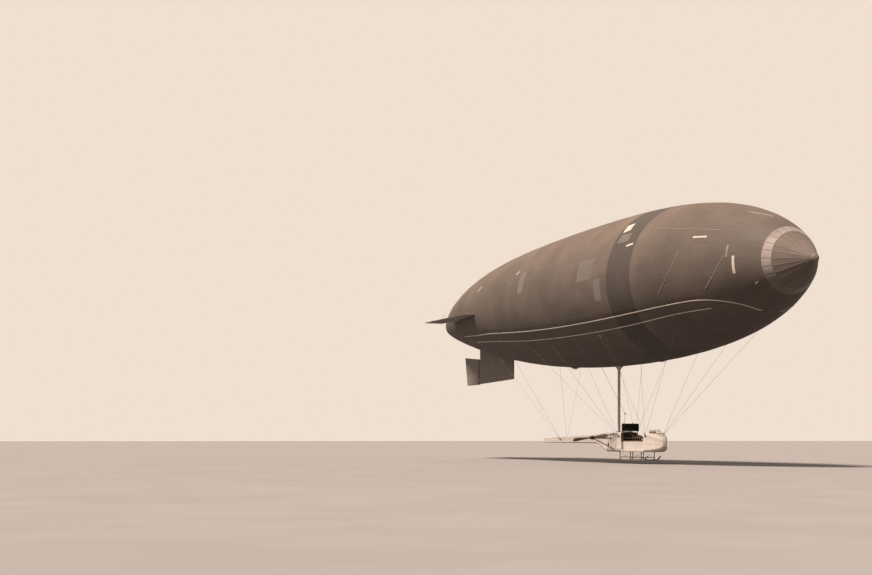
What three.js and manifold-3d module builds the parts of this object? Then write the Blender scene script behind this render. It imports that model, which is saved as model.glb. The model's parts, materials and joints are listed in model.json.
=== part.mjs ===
// Pressure airship with a car slung under it, built as a half-size model.
// Frame: +X towards the nose, +Y to port, +Z up. The origin is on the gas bag's axis at its
// centre of lift. Lengths below are metres of the full-size ship unless a name says otherwise.
import * as THREE from 'three';
import { mergeVertices } from 'three/addons/utils/BufferGeometryUtils.js';
import Module from 'manifold-3d';

const wasm = await Module();
wasm.setup();

// Scale and running clearances
const MM_PER_METRE = 500; // the half-size model has 500 mm for each full-size metre
const SEAT_GAP_MM = 0.3; // between pieces that touch
const SHELL_MM = 10; // wall of the gas bag in the model
const GAP = SEAT_GAP_MM / MM_PER_METRE; // the same gap in full-size metres
const BAG_GAP_MM = 0.4; // between the bag's facets and the pieces on it
const PIN_PLAY_MM = 0.4; // radial play of a pin in its bore
const OVERCUT = 0.1; // how far a cutting shape reaches past what it cuts
const OVERLAP = 0.02; // how far the shapes of one solid run into each other
const MERGE_MM = 1e-3; // vertices closer than this are one

// Gas bag: radius(t) = RADIUS * t^nose * (1 - t)^tail * exp(polynomial), scaled to a peak of 1
const LENGTH = 51.8;
const RADIUS = 4.924;
const NOSE_POWER = 0.968;
const TAIL_POWER = 0.677;
const FULLNESS = [-4.197, 4.978, -2.359];
const FULLEST = 0.38514; // fraction of the length from the nose
const ARCH = [3.652, -15.254, 17.468]; // the centre line rises by t * (1 - t) * polynomial
const RINGS = 26;
const FACETS = 36;
const LIFT_STATION = 22; // metres from the nose to the origin

// Nose fittings
const BATTENS = 24;
const BATTEN = { from: 0.12, to: 1.79, width: 0.05, proud: 0.022, deep: 0.06 };
const NOSE_HUB = { radius: 0.2, front: -0.1, back: 0.6 };
const NOSE_RING = { from: 1.84, to: 2.32, proud: 0.014 };

// Girdles: bands sewn round the bag's flanks that carry the stays
// Columns: station from the nose, angle below the horizontal in degrees
const GIRDLE_UPPER = [
  [4.0, 77], [4.13, 63], [4.47, 52], [4.98, 44], [5.6, 38.2], [6.3, 34.3], [7.2, 31.6], [8.6, 30],
  [11, 29], [17, 28.4], [30, 28], [34, 28.4], [38.5, 31.7], [42.5, 36],
];
const GIRDLE_LOWER = [
  [6.18, 44.2], [7.1, 41.7], [8.3, 39.6], [9.6, 38.5], [14, 38],
  [23, 37.2], [31, 37.3], [35, 38.4], [39.6, 42.8],
];
const GIRDLE = { width: 0.085, proud: 0.016, curlEnd: 9, curlStep: 0.4 };

// Belly valves. Columns: name, station
const VALVES = [['valve_fore', 15.7], ['valve_aft', 27.7]];
const VALVE = { radius: 0.3, drop: 0.14, sunk: 0.15 };

// Air duct from the car to the air bags inside
const DUCT = { station: 21.3, radius: 0.09, wall: 0.01, mouth: 0.5 };
const DUCT_FLARE = { radius: 0.32, height: 0.34, rim: 0.02 };

// Tail surfaces
const FIN_THICK = 0.1;
const CONTROL_THICK = 0.07;
const FIN_ROOT = 0.9; // the fins start inside the bag, at this share of its radius
const HINGE = { post: 0.06, pin: 0.02, lug: 0.06, lugSpan: 0.16, lugBack: 0.045, room: 0.128, play: 0.012 };
const STABILIZER = { lead: 37.2, trail: 44.34, tip: 4.6, corner: 0.25, lugs: [3.3, 4.3] };
const ELEVATOR = { hinge: 44.5, trail: 46.1, root: 3.05 };
const KEEL = { lead: 38.1, trail: 44.84, leadDepth: 5.02, trailDepth: 5.18, lugs: [3.35, 4.85] };
const RUDDER = { hinge: 45.0, topTrail: 48.0, bottomTrail: 47.5, top: 3.05, topAft: 2.78, bottom: 5.22 };

// Car. Heights are metres above the ground that the ship hangs over
const GROUND = -11.53; // the ground's height from the bag's axis
const CAR_WALL = 0.03;
const BEVEL_LOSS = 0.4; // share of an inset that comes off a bevel
// Columns: station, half width, bottom, top, corner bevel
const BOW_SECTIONS = [
  [15.4, 0.12, 1.16, 1.58, 0.05], [15.55, 0.28, 0.98, 1.76, 0.1], [15.9, 0.46, 0.86, 1.93, 0.14],
  [16.4, 0.6, 0.8, 2.03, 0.14], [17.0, 0.65, 0.8, 2.05, 0.12],
];
const REAR_SECTIONS = [[19.93, 0.65, 0.8, 2.13, 0.12], [22.0, 0.62, 0.8, 2.13, 0.12]];
const BOOM_SECTIONS = [
  [22.01, 0.62, 0.8, 2.13, 0.12], [22.9, 0.5, 1.06, 2.08, 0.12], [23.9, 0.36, 1.36, 2.0, 0.1],
  [28.0, 0.28, 1.39, 1.88, 0.08], [32.3, 0.17, 1.42, 1.76, 0.05], [32.6, 0.09, 1.49, 1.69, 0.03],
];
const FLOOR = { from: 17.001, to: 19.929, bottom: 0.8, top: 0.84, half: 0.65 };
const PANEL = { split: 18.1, top: 1.53, thick: 0.03 };
const COCKPIT = { from: 20.12, to: 20.95, half: 0.42 };
const COLLAR = { radius: 0.16, height: 0.05, spigot: 0.1 };
const FIREWALL = { from: 19.89, to: 19.9294, top: 2.1, play: 0.005 };

// Engine, radiator and exhaust, on the car's centre line
const BEARER = { from: 18.3, to: 19.7, offset: 0.22, width: 0.1, top: 1.0 };
const ENGINE = { from: 18.4, to: 19.5, half: 0.2, sump: 1.0006, deck: 1.4, foot: 0.06 };
const CYLINDER = { count: 4, radius: 0.115, head: 1.92 };
const FLYWHEEL = { length: 0.12, radius: 0.19, height: 1.2006 };
const RADIATOR = { station: 19.77, thick: 0.1, half: 0.65, bottom: 2.2, top: 2.72 };
const RADIATOR_TANK = { half: 0.08, wide: 0.624, deep: 0.1 };
const RADIATOR_POST = { radius: 0.025, offset: 0.56 };
const EXHAUST = { from: 18.45, to: 19.58, height: 1.72, offset: 0.3, outside: 0.76, outlet: 0.95 };
const EXHAUST_PIPE = { radius: 0.035, knee: 0.0357, branch: 0.03 };

// Pilot's place and seat
const WHEEL = { station: 17.35, height: 1.7, radius: 0.24, tube: 0.018, spoke: 0.0126 };
const WHEEL_COLUMN = { station: 17.27, radius: 0.03 };
const BENCH = { from: 21.2, to: 21.7, half: 0.44, top: 1.2 };
const WINDSCREEN = { station: 16.5, half: 0.42, height: 0.26, thick: 0.016, lean: 0.14, sunk: 0.05 };

// Propellers on outriggers
const PROP = { station: 21.55, offset: 2.1, height: 1.76, radius: 1.4, hub: 0.09, hubLength: 0.14 };
const PROP_REST_DEG = -7; // the blades stand nearly level, the inner ones a little up
// Columns: distance from the hub's axis, half chord, half thickness, pitch in degrees
const BLADE_SECTIONS = [
  [0.05, 0.045, 0.038, 54], [0.35, 0.07, 0.024, 38], [0.7, 0.1, 0.016, 27],
  [1.0, 0.12, 0.012, 20], [1.25, 0.1, 0.009, 15.5], [1.4, 0.045, 0.006, 13],
];
// The outline of a blade's section, in half chords and half thicknesses
const BLADE_OUTLINE = [[-1, 0], [-0.45, -1], [0.5, -0.7], [1, 0], [0.5, 0.7], [-0.45, 1]];
const GEARBOX = { from: 21.2, to: 21.46, radius: 0.13, shaft: 0.04, engaged: 0.1, bore: 0.12 };
// Columns: station at the car, height at the car, tube radius
const OUTRIGGER_TUBES = [[20.75, 2.02, 0.03], [21.2, 1.72, 0.045], [20.75, 0.94, 0.03]];
const OUTRIGGER_END = 21.31; // station on the gearbox's axis that the tubes point at
const OUTRIGGER_PAD = { from: 20.6, to: 21.35, bottom: 0.9, top: 2.08, thick: 0.03 };

// Landing skids
const SKID = { offset: 0.5, from: 17.1, to: 20.7, bottom: 0.24, height: 0.06, width: 0.1 };
const SKID_TOE = { rise: 0.25, length: 0.35 };
const SKID_STRUTS = [17.5, 18.9, 20.3];
const STRUT_RADIUS = 0.028;
const SKID_CROSS = { height: 0.44, radius: 0.0224 };

// Main stays from the car to the lower girdle
const STAY_RADIUS = 0.01;
// Columns: name, station, half width and height of the knot at the car, stations on the girdle
const STAYS = [
  ['fore', 16.75, 0.6345, 1.86, [8.5, 12.5, 16.5]],
  ['aft', 20.2, 0.6473, 1.86, [20.5, 24.5, 28.5]],
  ['tail', 29.5, 0.2436, 1.62, [32.5, 36.5]],
];
const KNOT = { radius: 0.06, thick: 0.05 };

// Colours. Columns: name, colour, roughness, metalness
const MATERIALS = Object.fromEntries([
  ['fabric', 0x82705c, 0.85, 0],
  ['pale_fabric', 0xd8cbb4, 0.8, 0],
  ['band', 0xcabfa6, 0.8, 0],
  ['fin_fabric', 0xa99a80, 0.85, 0],
  ['dark_fabric', 0x3e352c, 0.85, 0],
  ['steel', 0x55504a, 0.45, 0.8],
  ['dark_metal', 0x2a2622, 0.55, 0.6],
  ['wood', 0x6b4a2c, 0.6, 0],
  ['glass', 0xcfd8d6, 0.1, 0],
].map(([name, color, roughness, metalness]) => [name, { color, roughness, metalness }]));

const mm = (metres) => metres * MM_PER_METRE;
const stationX = (station) => mm(LIFT_STATION - station);
const heightZ = (height) => mm(height + GROUND);
const point = (station, side, height) => new THREE.Vector3(stationX(station), mm(side), heightZ(height));

const airship = new THREE.Group();

function addPiece(name, shape, finish) {
  const geometry = shape instanceof wasm.Manifold ? toGeometry(shape) : shape;
  const material = new THREE.MeshStandardMaterial({ ...MATERIALS[finish] });
  const mesh = new THREE.Mesh(geometry, material);
  mesh.name = name;
  airship.add(mesh);
}

// Solids

function toSolid(geometry) {
  const bare = geometry.clone();
  bare.deleteAttribute('normal');
  bare.deleteAttribute('uv');
  const merged = mergeVertices(bare, MERGE_MM);
  const positions = Float32Array.from(merged.getAttribute('position').array);
  const corners = merged.index.array;
  const kept = [];
  for (let i = 0; i < corners.length; i += 3) {
    const [a, b, c] = [corners[i], corners[i + 1], corners[i + 2]];
    if (a !== b && b !== c && c !== a) {
      kept.push(a, b, c);
    }
  }
  const outward = signedVolume(positions, kept) > 0;
  const triVerts = Uint32Array.from(outward ? kept : kept.reverse());
  return new wasm.Manifold(new wasm.Mesh({ numProp: 3, vertProperties: positions, triVerts }));
}

function signedVolume(positions, corners) {
  const at = (index) => new THREE.Vector3().fromArray(positions, index * 3);
  let volume = 0;
  for (let i = 0; i < corners.length; i += 3) {
    volume += at(corners[i]).dot(at(corners[i + 1]).cross(at(corners[i + 2])));
  }
  return volume;
}

function toGeometry(solid) {
  const mesh = solid.getMesh();
  const geometry = new THREE.BufferGeometry();
  const positions = Float32Array.from(mesh.vertProperties);
  geometry.setAttribute('position', new THREE.BufferAttribute(positions, 3));
  geometry.setIndex(Array.from(mesh.triVerts));
  return geometry;
}

function joined(solids) {
  return solids.reduce((whole, solid) => whole.add(solid));
}

// Skins a closed solid over loops of points that all have the same count, with flat ends
function loft(loops) {
  const count = loops[0].length;
  const positions = loops.flat().flatMap((vertex) => vertex.toArray());
  const index = [];
  for (let row = 0; row + 1 < loops.length; row += 1) {
    for (let i = 0; i < count; i += 1) {
      const [a, b] = [row * count + i, row * count + ((i + 1) % count)];
      index.push(a, b, b + count, a, b + count, a + count);
    }
  }
  const last = (loops.length - 1) * count;
  for (let i = 1; i + 1 < count; i += 1) {
    index.push(0, i + 1, i, last, last + i, last + i + 1);
  }
  const geometry = new THREE.BufferGeometry();
  geometry.setAttribute('position', new THREE.Float32BufferAttribute(positions, 3));
  geometry.setIndex(index);
  return toSolid(geometry);
}

function rod(start, end, radiusMm, sides = 8) {
  const along = end.clone().sub(start);
  const geometry = new THREE.CylinderGeometry(radiusMm, radiusMm, along.length(), sides);
  const turn = new THREE.Quaternion().setFromUnitVectors(new THREE.Vector3(0, 1, 0), along.normalize());
  geometry.applyQuaternion(turn);
  geometry.translate(...start.clone().add(end).multiplyScalar(0.5).toArray());
  return toSolid(geometry);
}

// A block between two corners, each given as a Vector3 in millimetres
function block(low, high) {
  const size = high.clone().sub(low);
  const geometry = new THREE.BoxGeometry(Math.abs(size.x), Math.abs(size.y), Math.abs(size.z));
  geometry.translate(...low.clone().add(high).multiplyScalar(0.5).toArray());
  return toSolid(geometry);
}

// A flat plate: an outline of [u, v] points in millimetres, thick about the plane u, v
function plate(outline, thickMm) {
  const shape = new THREE.Shape(outline.map(([u, v]) => new THREE.Vector2(u, v)));
  const geometry = new THREE.ExtrudeGeometry(shape, { depth: thickMm, bevelEnabled: false });
  geometry.translate(0, 0, -thickMm / 2);
  return geometry;
}

const levelPlate = (outline, thickMm) => toSolid(plate(outline, thickMm));
const uprightPlate = (outline, thickMm) => toSolid(plate(outline, thickMm).rotateX(Math.PI / 2));
const mirrored = (solid) => solid.mirror([0, 1, 0]);

// Gas bag

function swell(t) {
  const [a, b, c] = FULLNESS;
  return t ** NOSE_POWER * (1 - t) ** TAIL_POWER * Math.exp(a * t + b * t ** 2 + c * t ** 3);
}

const ringStation = (i) => (LENGTH * (1 - Math.cos((Math.PI * i) / RINGS))) / 2;
const curveRadius = (station) => (RADIUS * swell(station / LENGTH)) / swell(FULLEST);

function curveRise(station) {
  const t = station / LENGTH;
  const [a, b, c] = ARCH;
  return t * (1 - t) * (a + b * t + c * t ** 2);
}

// A value that runs straight between the bag's rings, where it keeps to the curve
function betweenRings(station, curve) {
  const inside = Math.min(Math.max(station, 0), LENGTH);
  const place = (RINGS / Math.PI) * Math.acos(1 - (2 * inside) / LENGTH);
  const ring = Math.min(Math.floor(place), RINGS - 1);
  const [fore, aft] = [ringStation(ring), ringStation(ring + 1)];
  const share = (inside - fore) / (aft - fore);
  return curve(fore) * (1 - share) + curve(aft) * share;
}

// Radius of the faceted bag and height of its centre line over the X axis, in metres
const bagRadius = (station) => betweenRings(station, curveRadius);
const bagRise = (station) => betweenRings(station, curveRise);
const bellyZ = (station) => mm(bagRise(station) - bagRadius(station));

// Moves a solid drawn about the X axis onto the bag's arched centre line
function arched(solid) {
  return solid.warp((vertex) => {
    vertex[2] += mm(bagRise(LIFT_STATION - vertex[0] / MM_PER_METRE));
  });
}

// The facets' own radius at an angle below the horizontal, in metres
function facetRadius(station, degrees) {
  const half = 180 / FACETS;
  const offCentre = (((degrees % (2 * half)) + 2 * half) % (2 * half)) - half;
  const toRad = Math.PI / 180;
  return (bagRadius(station) * Math.cos(half * toRad)) / Math.cos(offCentre * toRad);
}

// A solid of revolution about the bag's centre line. Profile points are [station, radius] in metres
function revolved(profile, extraMm = 0) {
  const points = profile.map(([station, radius]) => {
    const grown = radius > 0 ? mm(radius) + extraMm : 0;
    return new THREE.Vector2(Math.max(grown, 0), stationX(station));
  });
  return arched(toSolid(new THREE.LatheGeometry(points, FACETS).rotateZ(-Math.PI / 2)));
}

const bagProfile = [];
for (let i = 0; i <= RINGS; i += 1) {
  bagProfile.push([ringStation(i), curveRadius(ringStation(i))]);
}
const bagOutside = revolved(bagProfile);
const bagClearance = revolved(bagProfile, BAG_GAP_MM).add(tipClearance());

// Keeps pieces at the nose tip off the bag's point
function tipClearance() {
  const first = ringStation(1);
  return revolved([[-GAP, 0], [0, GAP], [first, curveRadius(first)], [first, 0]], SEAT_GAP_MM);
}

const seated = (solid) => solid.subtract(bagClearance);

function addEnvelope() {
  const inner = bagProfile.slice(1, -1);
  const wall = SHELL_MM / MM_PER_METRE;
  const [first, last] = [inner[0][0] + wall, inner.at(-1)[0] - wall];
  const hollow = revolved([[first, 0], ...inner, [last, 0]], -SHELL_MM);
  const belly = new THREE.Vector3(stationX(DUCT.station), 0, bellyZ(DUCT.station));
  const reach = new THREE.Vector3(0, 0, mm(DUCT.mouth));
  const mouth = rod(belly.clone().sub(reach), belly.clone().add(reach), mm(DUCT.radius - DUCT.wall), 16);
  addPiece('envelope', bagOutside.subtract(hollow).subtract(mouth), 'fabric');
}

// A point on the bag's facets, lifted off them. Side is 1 to port and -1 to starboard
function onBag(station, degreesBelow, liftMm, side = -1) {
  const radius = mm(facetRadius(station, degreesBelow)) + liftMm;
  const angle = (degreesBelow * Math.PI) / 180;
  const height = mm(bagRise(station)) - radius * Math.sin(angle);
  return new THREE.Vector3(stationX(station), side * radius * Math.cos(angle), height);
}

function addNose() {
  const stations = [BATTEN.from, ringStation(1), ringStation(2), ringStation(3), BATTEN.to];
  const batten = loft(stations.map((station) => {
    const radius = bagRadius(station);
    const [deep, high, wide] = [mm(radius - BATTEN.deep), mm(radius + BATTEN.proud), mm(BATTEN.width) / 2];
    const corner = (y, z) => new THREE.Vector3(stationX(station), y, z);
    return [corner(-wide, deep), corner(wide, deep), corner(wide, high), corner(-wide, high)];
  }));
  const battens = [];
  for (let i = 0; i < BATTENS; i += 1) {
    battens.push(batten.rotate([(360 / BATTENS) * i, 0, 0]));
  }
  const { front, back, radius } = NOSE_HUB;
  const [inside, outside] = [back, front].map((station) => new THREE.Vector3(stationX(station), 0, 0));
  battens.push(rod(inside, outside, mm(radius), 24));
  addPiece('nose_battens', seated(arched(joined(battens))), 'fabric');
  const { from, to, proud } = NOSE_RING;
  const lifted = (station) => [station, bagRadius(station) + proud];
  const ring = revolved([[from, 0], lifted(from), lifted(to), [to, 0]]);
  addPiece('nose_ring', seated(ring), 'pale_fabric');
}

// Slope of a path of [station, angle] at one of its points, so that the curve never overshoots
function slopeAt(path, i) {
  const rate = (j) => (path[j + 1][1] - path[j][1]) / (path[j + 1][0] - path[j][0]);
  if (i === 0 || i === path.length - 1) {
    return rate(Math.max(i - 1, 0));
  }
  const [fore, aft] = [rate(i - 1), rate(i)];
  if (fore * aft <= 0) {
    return 0;
  }
  const [foreSpan, aftSpan] = [path[i][0] - path[i - 1][0], path[i + 1][0] - path[i][0]];
  const [foreShare, aftShare] = [2 * aftSpan + foreSpan, aftSpan + 2 * foreSpan];
  return (foreShare + aftShare) / (foreShare / fore + aftShare / aft);
}

function angleAlong(path, station) {
  const next = Math.max(path.findIndex(([place]) => place >= station), 1);
  const [[foreStation, foreAngle], [aftStation, aftAngle]] = [path[next - 1], path[next]];
  const span = aftStation - foreStation;
  const t = (station - foreStation) / span;
  const foreBend = (t ** 3 - 2 * t ** 2 + t) * slopeAt(path, next - 1);
  const aftBend = (t ** 3 - t ** 2) * slopeAt(path, next);
  const straight = (aftAngle - foreAngle) * (3 * t ** 2 - 2 * t ** 3);
  return foreAngle + straight + span * (foreBend + aftBend);
}

function girdle(path) {
  const places = new Set(path.map(([station]) => station));
  const [start, end] = [path[0][0], path.at(-1)[0]];
  for (let i = 1; i < RINGS; i += 1) {
    if (ringStation(i) > start && ringStation(i) < end) {
      places.add(ringStation(i));
    }
  }
  for (let station = start; station < GIRDLE.curlEnd; station += GIRDLE.curlStep) {
    places.add(station);
  }
  const stations = [...places].sort((a, b) => a - b);
  const centre = (station) => onBag(station, angleAlong(path, station), 0);
  return seated(loft(stations.map((station, i) => {
    const middle = centre(station);
    const fore = centre(stations[Math.max(i - 1, 0)]);
    const aft = centre(stations[Math.min(i + 1, stations.length - 1)]);
    const along = aft.sub(fore).normalize();
    const out = new THREE.Vector3(0, middle.y, middle.z - mm(bagRise(station))).normalize();
    const across = new THREE.Vector3().crossVectors(along, out).normalize();
    const wide = mm(GIRDLE.width) / 2;
    const high = mm(GIRDLE.proud);
    const corner = (sign, lift) => middle.clone()
      .addScaledVector(across, sign * wide)
      .addScaledVector(out, lift);
    return [corner(-1, -high), corner(1, -high), corner(1, high), corner(-1, high)];
  })));
}

function addGirdles() {
  for (const [name, path] of [['upper', GIRDLE_UPPER], ['lower', GIRDLE_LOWER]]) {
    const starboard = girdle(path);
    addPiece(`girdle_${name}_starboard`, starboard, 'band');
    addPiece(`girdle_${name}_port`, mirrored(starboard), 'band');
  }
}

function addValves() {
  for (const [name, station] of VALVES) {
    const top = new THREE.Vector3(stationX(station), 0, bellyZ(station) + mm(VALVE.sunk));
    const bottom = new THREE.Vector3(stationX(station), 0, bellyZ(station) - mm(VALVE.drop));
    addPiece(name, seated(rod(top, bottom, mm(VALVE.radius), 16)), 'dark_fabric');
  }
}

// Air duct: a fabric hose with a flared head that meets the bag's belly
function addDuct() {
  const { station, radius, wall } = DUCT;
  const flare = DUCT_FLARE;
  const deck = REAR_SECTIONS[0][3];
  const low = heightZ(deck + COLLAR.height) + SEAT_GAP_MM;
  const belly = bellyZ(station);
  const above = belly + mm(OVERCUT);
  const neckTop = belly - mm(flare.height);
  const skirt = belly - mm(flare.rim);
  const outline = [[radius, low], [radius, neckTop], [flare.radius, skirt], [flare.radius, above]];
  const inside = [[radius - wall, above], [radius - wall, low]];
  const points = [...outline, ...inside].map(([r, z]) => new THREE.Vector2(mm(r), z));
  const hose = toSolid(new THREE.LatheGeometry([...points, points[0].clone()], 16).rotateX(Math.PI / 2));
  addPiece('air_duct', seated(hose.translate([stationX(station), 0, 0])), 'dark_fabric');
  const foot = point(station, 0, deck).add(new THREE.Vector3(0, 0, SEAT_GAP_MM));
  const lip = point(station, 0, deck + COLLAR.height);
  const spigot = point(station, 0, deck + COLLAR.height + COLLAR.spigot);
  const collar = rod(foot, lip, mm(COLLAR.radius), 16);
  const neck = rod(foot, spigot, mm(radius - wall) - PIN_PLAY_MM, 16);
  addPiece('duct_collar', collar.add(neck), 'dark_metal');
}

// Hinges: lugs on the fixed surface hold pins on the moving one

const lugHeight = mm(HINGE.lug);
const lugRoom = mm(HINGE.lug / 2 + HINGE.play);

function lugAt(axisPoint, axisDirection, forward, thickMm) {
  const along = axisDirection.clone().normalize();
  const reach = forward.clone().multiplyScalar(mm(HINGE.lugSpan));
  const half = along.clone().multiplyScalar(lugHeight / 2);
  const across = new THREE.Vector3().crossVectors(along, forward).normalize().multiplyScalar(thickMm / 2);
  const loop = (sign) => {
    const middle = axisPoint.clone().addScaledVector(half, sign);
    const back = middle.clone().addScaledVector(forward, -mm(HINGE.lugBack));
    return [
      back.clone().sub(across), back.clone().add(across),
      middle.clone().add(reach).add(across), middle.clone().add(reach).sub(across),
    ];
  };
  const eye = rod(
    axisPoint.clone().addScaledVector(half, -2), axisPoint.clone().addScaledVector(half, 2),
    mm(HINGE.pin) + PIN_PLAY_MM, 16);
  return loft([loop(-1), loop(1)]).subtract(eye);
}

// Cuts the room for a lug out of a moving surface and leaves a pin through it
function withPin(surface, axisPoint, axisDirection) {
  const along = axisDirection.clone().normalize();
  const low = axisPoint.clone().addScaledVector(along, -lugRoom);
  const high = axisPoint.clone().addScaledVector(along, lugRoom);
  const room = rod(low, high, mm(HINGE.room), 16);
  const overlap = mm(HINGE.play);
  const pin = rod(
    low.clone().addScaledVector(along, -overlap), high.clone().addScaledVector(along, overlap),
    mm(HINGE.pin), 16);
  return surface.subtract(room).add(pin);
}

function addStabilizers() {
  const { lead, trail, tip, corner, lugs } = STABILIZER;
  const inboard = bagRadius(trail) * FIN_ROOT;
  const outline = [
    [lead, inboard], [lead, tip - corner], [lead + corner, tip], [trail, tip], [trail, inboard],
  ].map(([station, side]) => [stationX(station), mm(side)]);
  const spanwise = new THREE.Vector3(0, 1, 0);
  const forward = new THREE.Vector3(1, 0, 0);
  const hingeAt = (side) => new THREE.Vector3(stationX(ELEVATOR.hinge), mm(side), 0);
  const fixed = [levelPlate(outline, mm(FIN_THICK))];
  for (const side of lugs) {
    fixed.push(lugAt(hingeAt(side), spanwise, forward, mm(CONTROL_THICK)));
  }
  const port = seated(joined(fixed));
  const { hinge, trail: end, root } = ELEVATOR;
  const corners = [[hinge, root], [hinge, tip], [end, tip], [end, root]]
    .map(([station, side]) => [stationX(station), mm(side)]);
  const flap = levelPlate(corners, mm(CONTROL_THICK));
  const post = rod(hingeAt(root), hingeAt(tip), mm(HINGE.post), 16);
  const elevator = lugs.reduce((solid, side) => withPin(solid, hingeAt(side), spanwise), flap.add(post));
  addPiece('stabilizer_port', port, 'fin_fabric');
  addPiece('stabilizer_starboard', mirrored(port), 'fin_fabric');
  addPiece('elevator_port', elevator, 'fin_fabric');
  addPiece('elevator_starboard', mirrored(elevator), 'fin_fabric');
}

function addKeelFin() {
  const { lead, trail, leadDepth, trailDepth, lugs } = KEEL;
  const inside = (bagRadius(trail) - bagRise(trail)) * FIN_ROOT;
  const outline = [[lead, inside], [lead, leadDepth], [trail, trailDepth], [trail, inside]]
    .map(([station, depth]) => [stationX(station), -mm(depth)]);
  const upright = new THREE.Vector3(0, 0, 1);
  const forward = new THREE.Vector3(1, 0, 0);
  const hingeAt = (depth) => new THREE.Vector3(stationX(RUDDER.hinge), 0, -mm(depth));
  const fixed = [uprightPlate(outline, mm(FIN_THICK))];
  for (const depth of lugs) {
    fixed.push(lugAt(hingeAt(depth), upright, forward, mm(CONTROL_THICK)));
  }
  addPiece('keel_fin', seated(joined(fixed)), 'fin_fabric');
  const { hinge, topTrail, bottomTrail, top, topAft, bottom } = RUDDER;
  const flap = uprightPlate(
    [[hinge, top], [topTrail, topAft], [bottomTrail, bottom], [hinge, bottom]]
      .map(([station, depth]) => [stationX(station), -mm(depth)]),
    mm(CONTROL_THICK));
  const post = rod(hingeAt(top), hingeAt(bottom), mm(HINGE.post), 16);
  const rudder = lugs.reduce((solid, depth) => withPin(solid, hingeAt(depth), upright), flap.add(post));
  addPiece('rudder', rudder, 'fin_fabric');
}

// Car

// One bevelled section of the car, optionally drawn in by the wall
function carLoop([station, half, bottom, top, bevel], inset = 0, shift = 0) {
  const [wide, low, high] = [half - inset, bottom + inset, top - inset];
  const cut = bevel - inset * BEVEL_LOSS;
  return [
    [-wide, low + cut], [-wide + cut, low], [wide - cut, low], [wide, low + cut],
    [wide, high - cut], [wide - cut, high], [-wide + cut, high], [-wide, high - cut],
  ].map(([side, height]) => point(station + shift, side, height));
}

function addBow() {
  const outside = loft(BOW_SECTIONS.map((row) => carLoop(row)));
  const [tip, ...rest] = BOW_SECTIONS;
  const inner = [
    carLoop(tip, CAR_WALL, CAR_WALL * 2),
    ...rest.map((row) => carLoop(row, CAR_WALL)),
    carLoop(rest.at(-1), CAR_WALL, OVERCUT),
  ];
  addPiece('car_bow', outside.subtract(loft(inner)), 'pale_fabric');
}

function addRear() {
  const [fore, aft] = REAR_SECTIONS;
  const outside = loft(REAR_SECTIONS.map((row) => carLoop(row)));
  const inside = loft([carLoop(fore, CAR_WALL, -OVERCUT), carLoop(aft, CAR_WALL, -CAR_WALL)]);
  const deck = fore[3];
  const { from, to, half } = COCKPIT;
  const hatch = block(point(from, -half, deck - OVERCUT), point(to, half, deck + OVERCUT));
  addPiece('car_rear', outside.subtract(inside).subtract(hatch), 'pale_fabric');
  addPiece('car_boom', loft(BOOM_SECTIONS.map((row) => carLoop(row))), 'pale_fabric');
}

function addMidship() {
  const { from, to, bottom, top, half } = FLOOR;
  addPiece('car_floor', block(point(from, -half, bottom), point(to, half, top)), 'wood');
  const spans = [['fore', from, PANEL.split], ['aft', PANEL.split + GAP, to]];
  for (const [name, start, end] of spans) {
    const panel = block(point(start, half - PANEL.thick, top + GAP), point(end, half, PANEL.top));
    addPiece(`side_panel_${name}_port`, panel, 'pale_fabric');
    addPiece(`side_panel_${name}_starboard`, mirrored(panel), 'pale_fabric');
  }
}

function addPilotPlace() {
  const { station, height, radius, tube, spoke } = WHEEL;
  const rim = toSolid(new THREE.TorusGeometry(mm(radius), mm(tube), 6, 20).rotateY(Math.PI / 2)
    .translate(...point(station, 0, height).toArray()));
  const spokes = [0, 1, 2].map((i) => {
    const angle = (Math.PI * i) / 3;
    const reach = [Math.cos(angle) * radius, Math.sin(angle) * radius];
    const [low, high] = [-1, 1].map((sign) => point(station, sign * reach[0], height + sign * reach[1]));
    return rod(low, high, mm(spoke), 6);
  });
  const column = WHEEL_COLUMN;
  const [foot, head] = [FLOOR.top + GAP, height + column.radius].map((z) => point(column.station, 0, z));
  const post = rod(foot, head, mm(column.radius));
  const axle = rod(point(column.station, 0, height), point(station, 0, height), mm(column.radius));
  addPiece('control_wheel', joined([rim, ...spokes, post, axle]), 'wood');
  const base = BOOM_SECTIONS[0][2] + CAR_WALL + GAP;
  const bench = block(point(BENCH.from, -BENCH.half, base), point(BENCH.to, BENCH.half, BENCH.top));
  addPiece('bench', bench, 'wood');
}

// Closes the deep part's mouth behind the engine
function addFirewall() {
  const { from, to, top, play } = FIREWALL;
  const [section] = REAR_SECTIONS;
  const inset = PANEL.thick + play;
  const sheet = loft([from, to].map((station) => carLoop(section, inset, station - section[0])));
  const above = block(
    point(from - OVERCUT, -FLOOR.half, FLOOR.top + GAP),
    point(to + OVERCUT, FLOOR.half, top));
  addPiece('firewall', sheet.intersect(above), 'dark_metal');
}

function addWindscreen() {
  const { station, half, height, thick, lean, sunk } = WINDSCREEN;
  const base = BOW_SECTIONS.at(-1)[3] - sunk;
  const pane = loft([
    [[0, -half, base], [thick, -half, base], [thick, half, base], [0, half, base]],
    [[lean, -half, base + height], [lean + thick, -half, base + height],
      [lean + thick, half, base + height], [lean, half, base + height]],
  ].map((loop) => loop.map(([shift, side, level]) => point(station + shift, side, level))));
  const bow = loft(BOW_SECTIONS.map((row) => carLoop(row, -GAP)));
  addPiece('windscreen', pane.subtract(bow), 'glass');
}

// Engine group

function cylinderStations() {
  const pitch = (ENGINE.to - ENGINE.from) / CYLINDER.count;
  return Array.from({ length: CYLINDER.count }, (_, i) => ENGINE.from + pitch * (i + 0.5));
}

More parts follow.
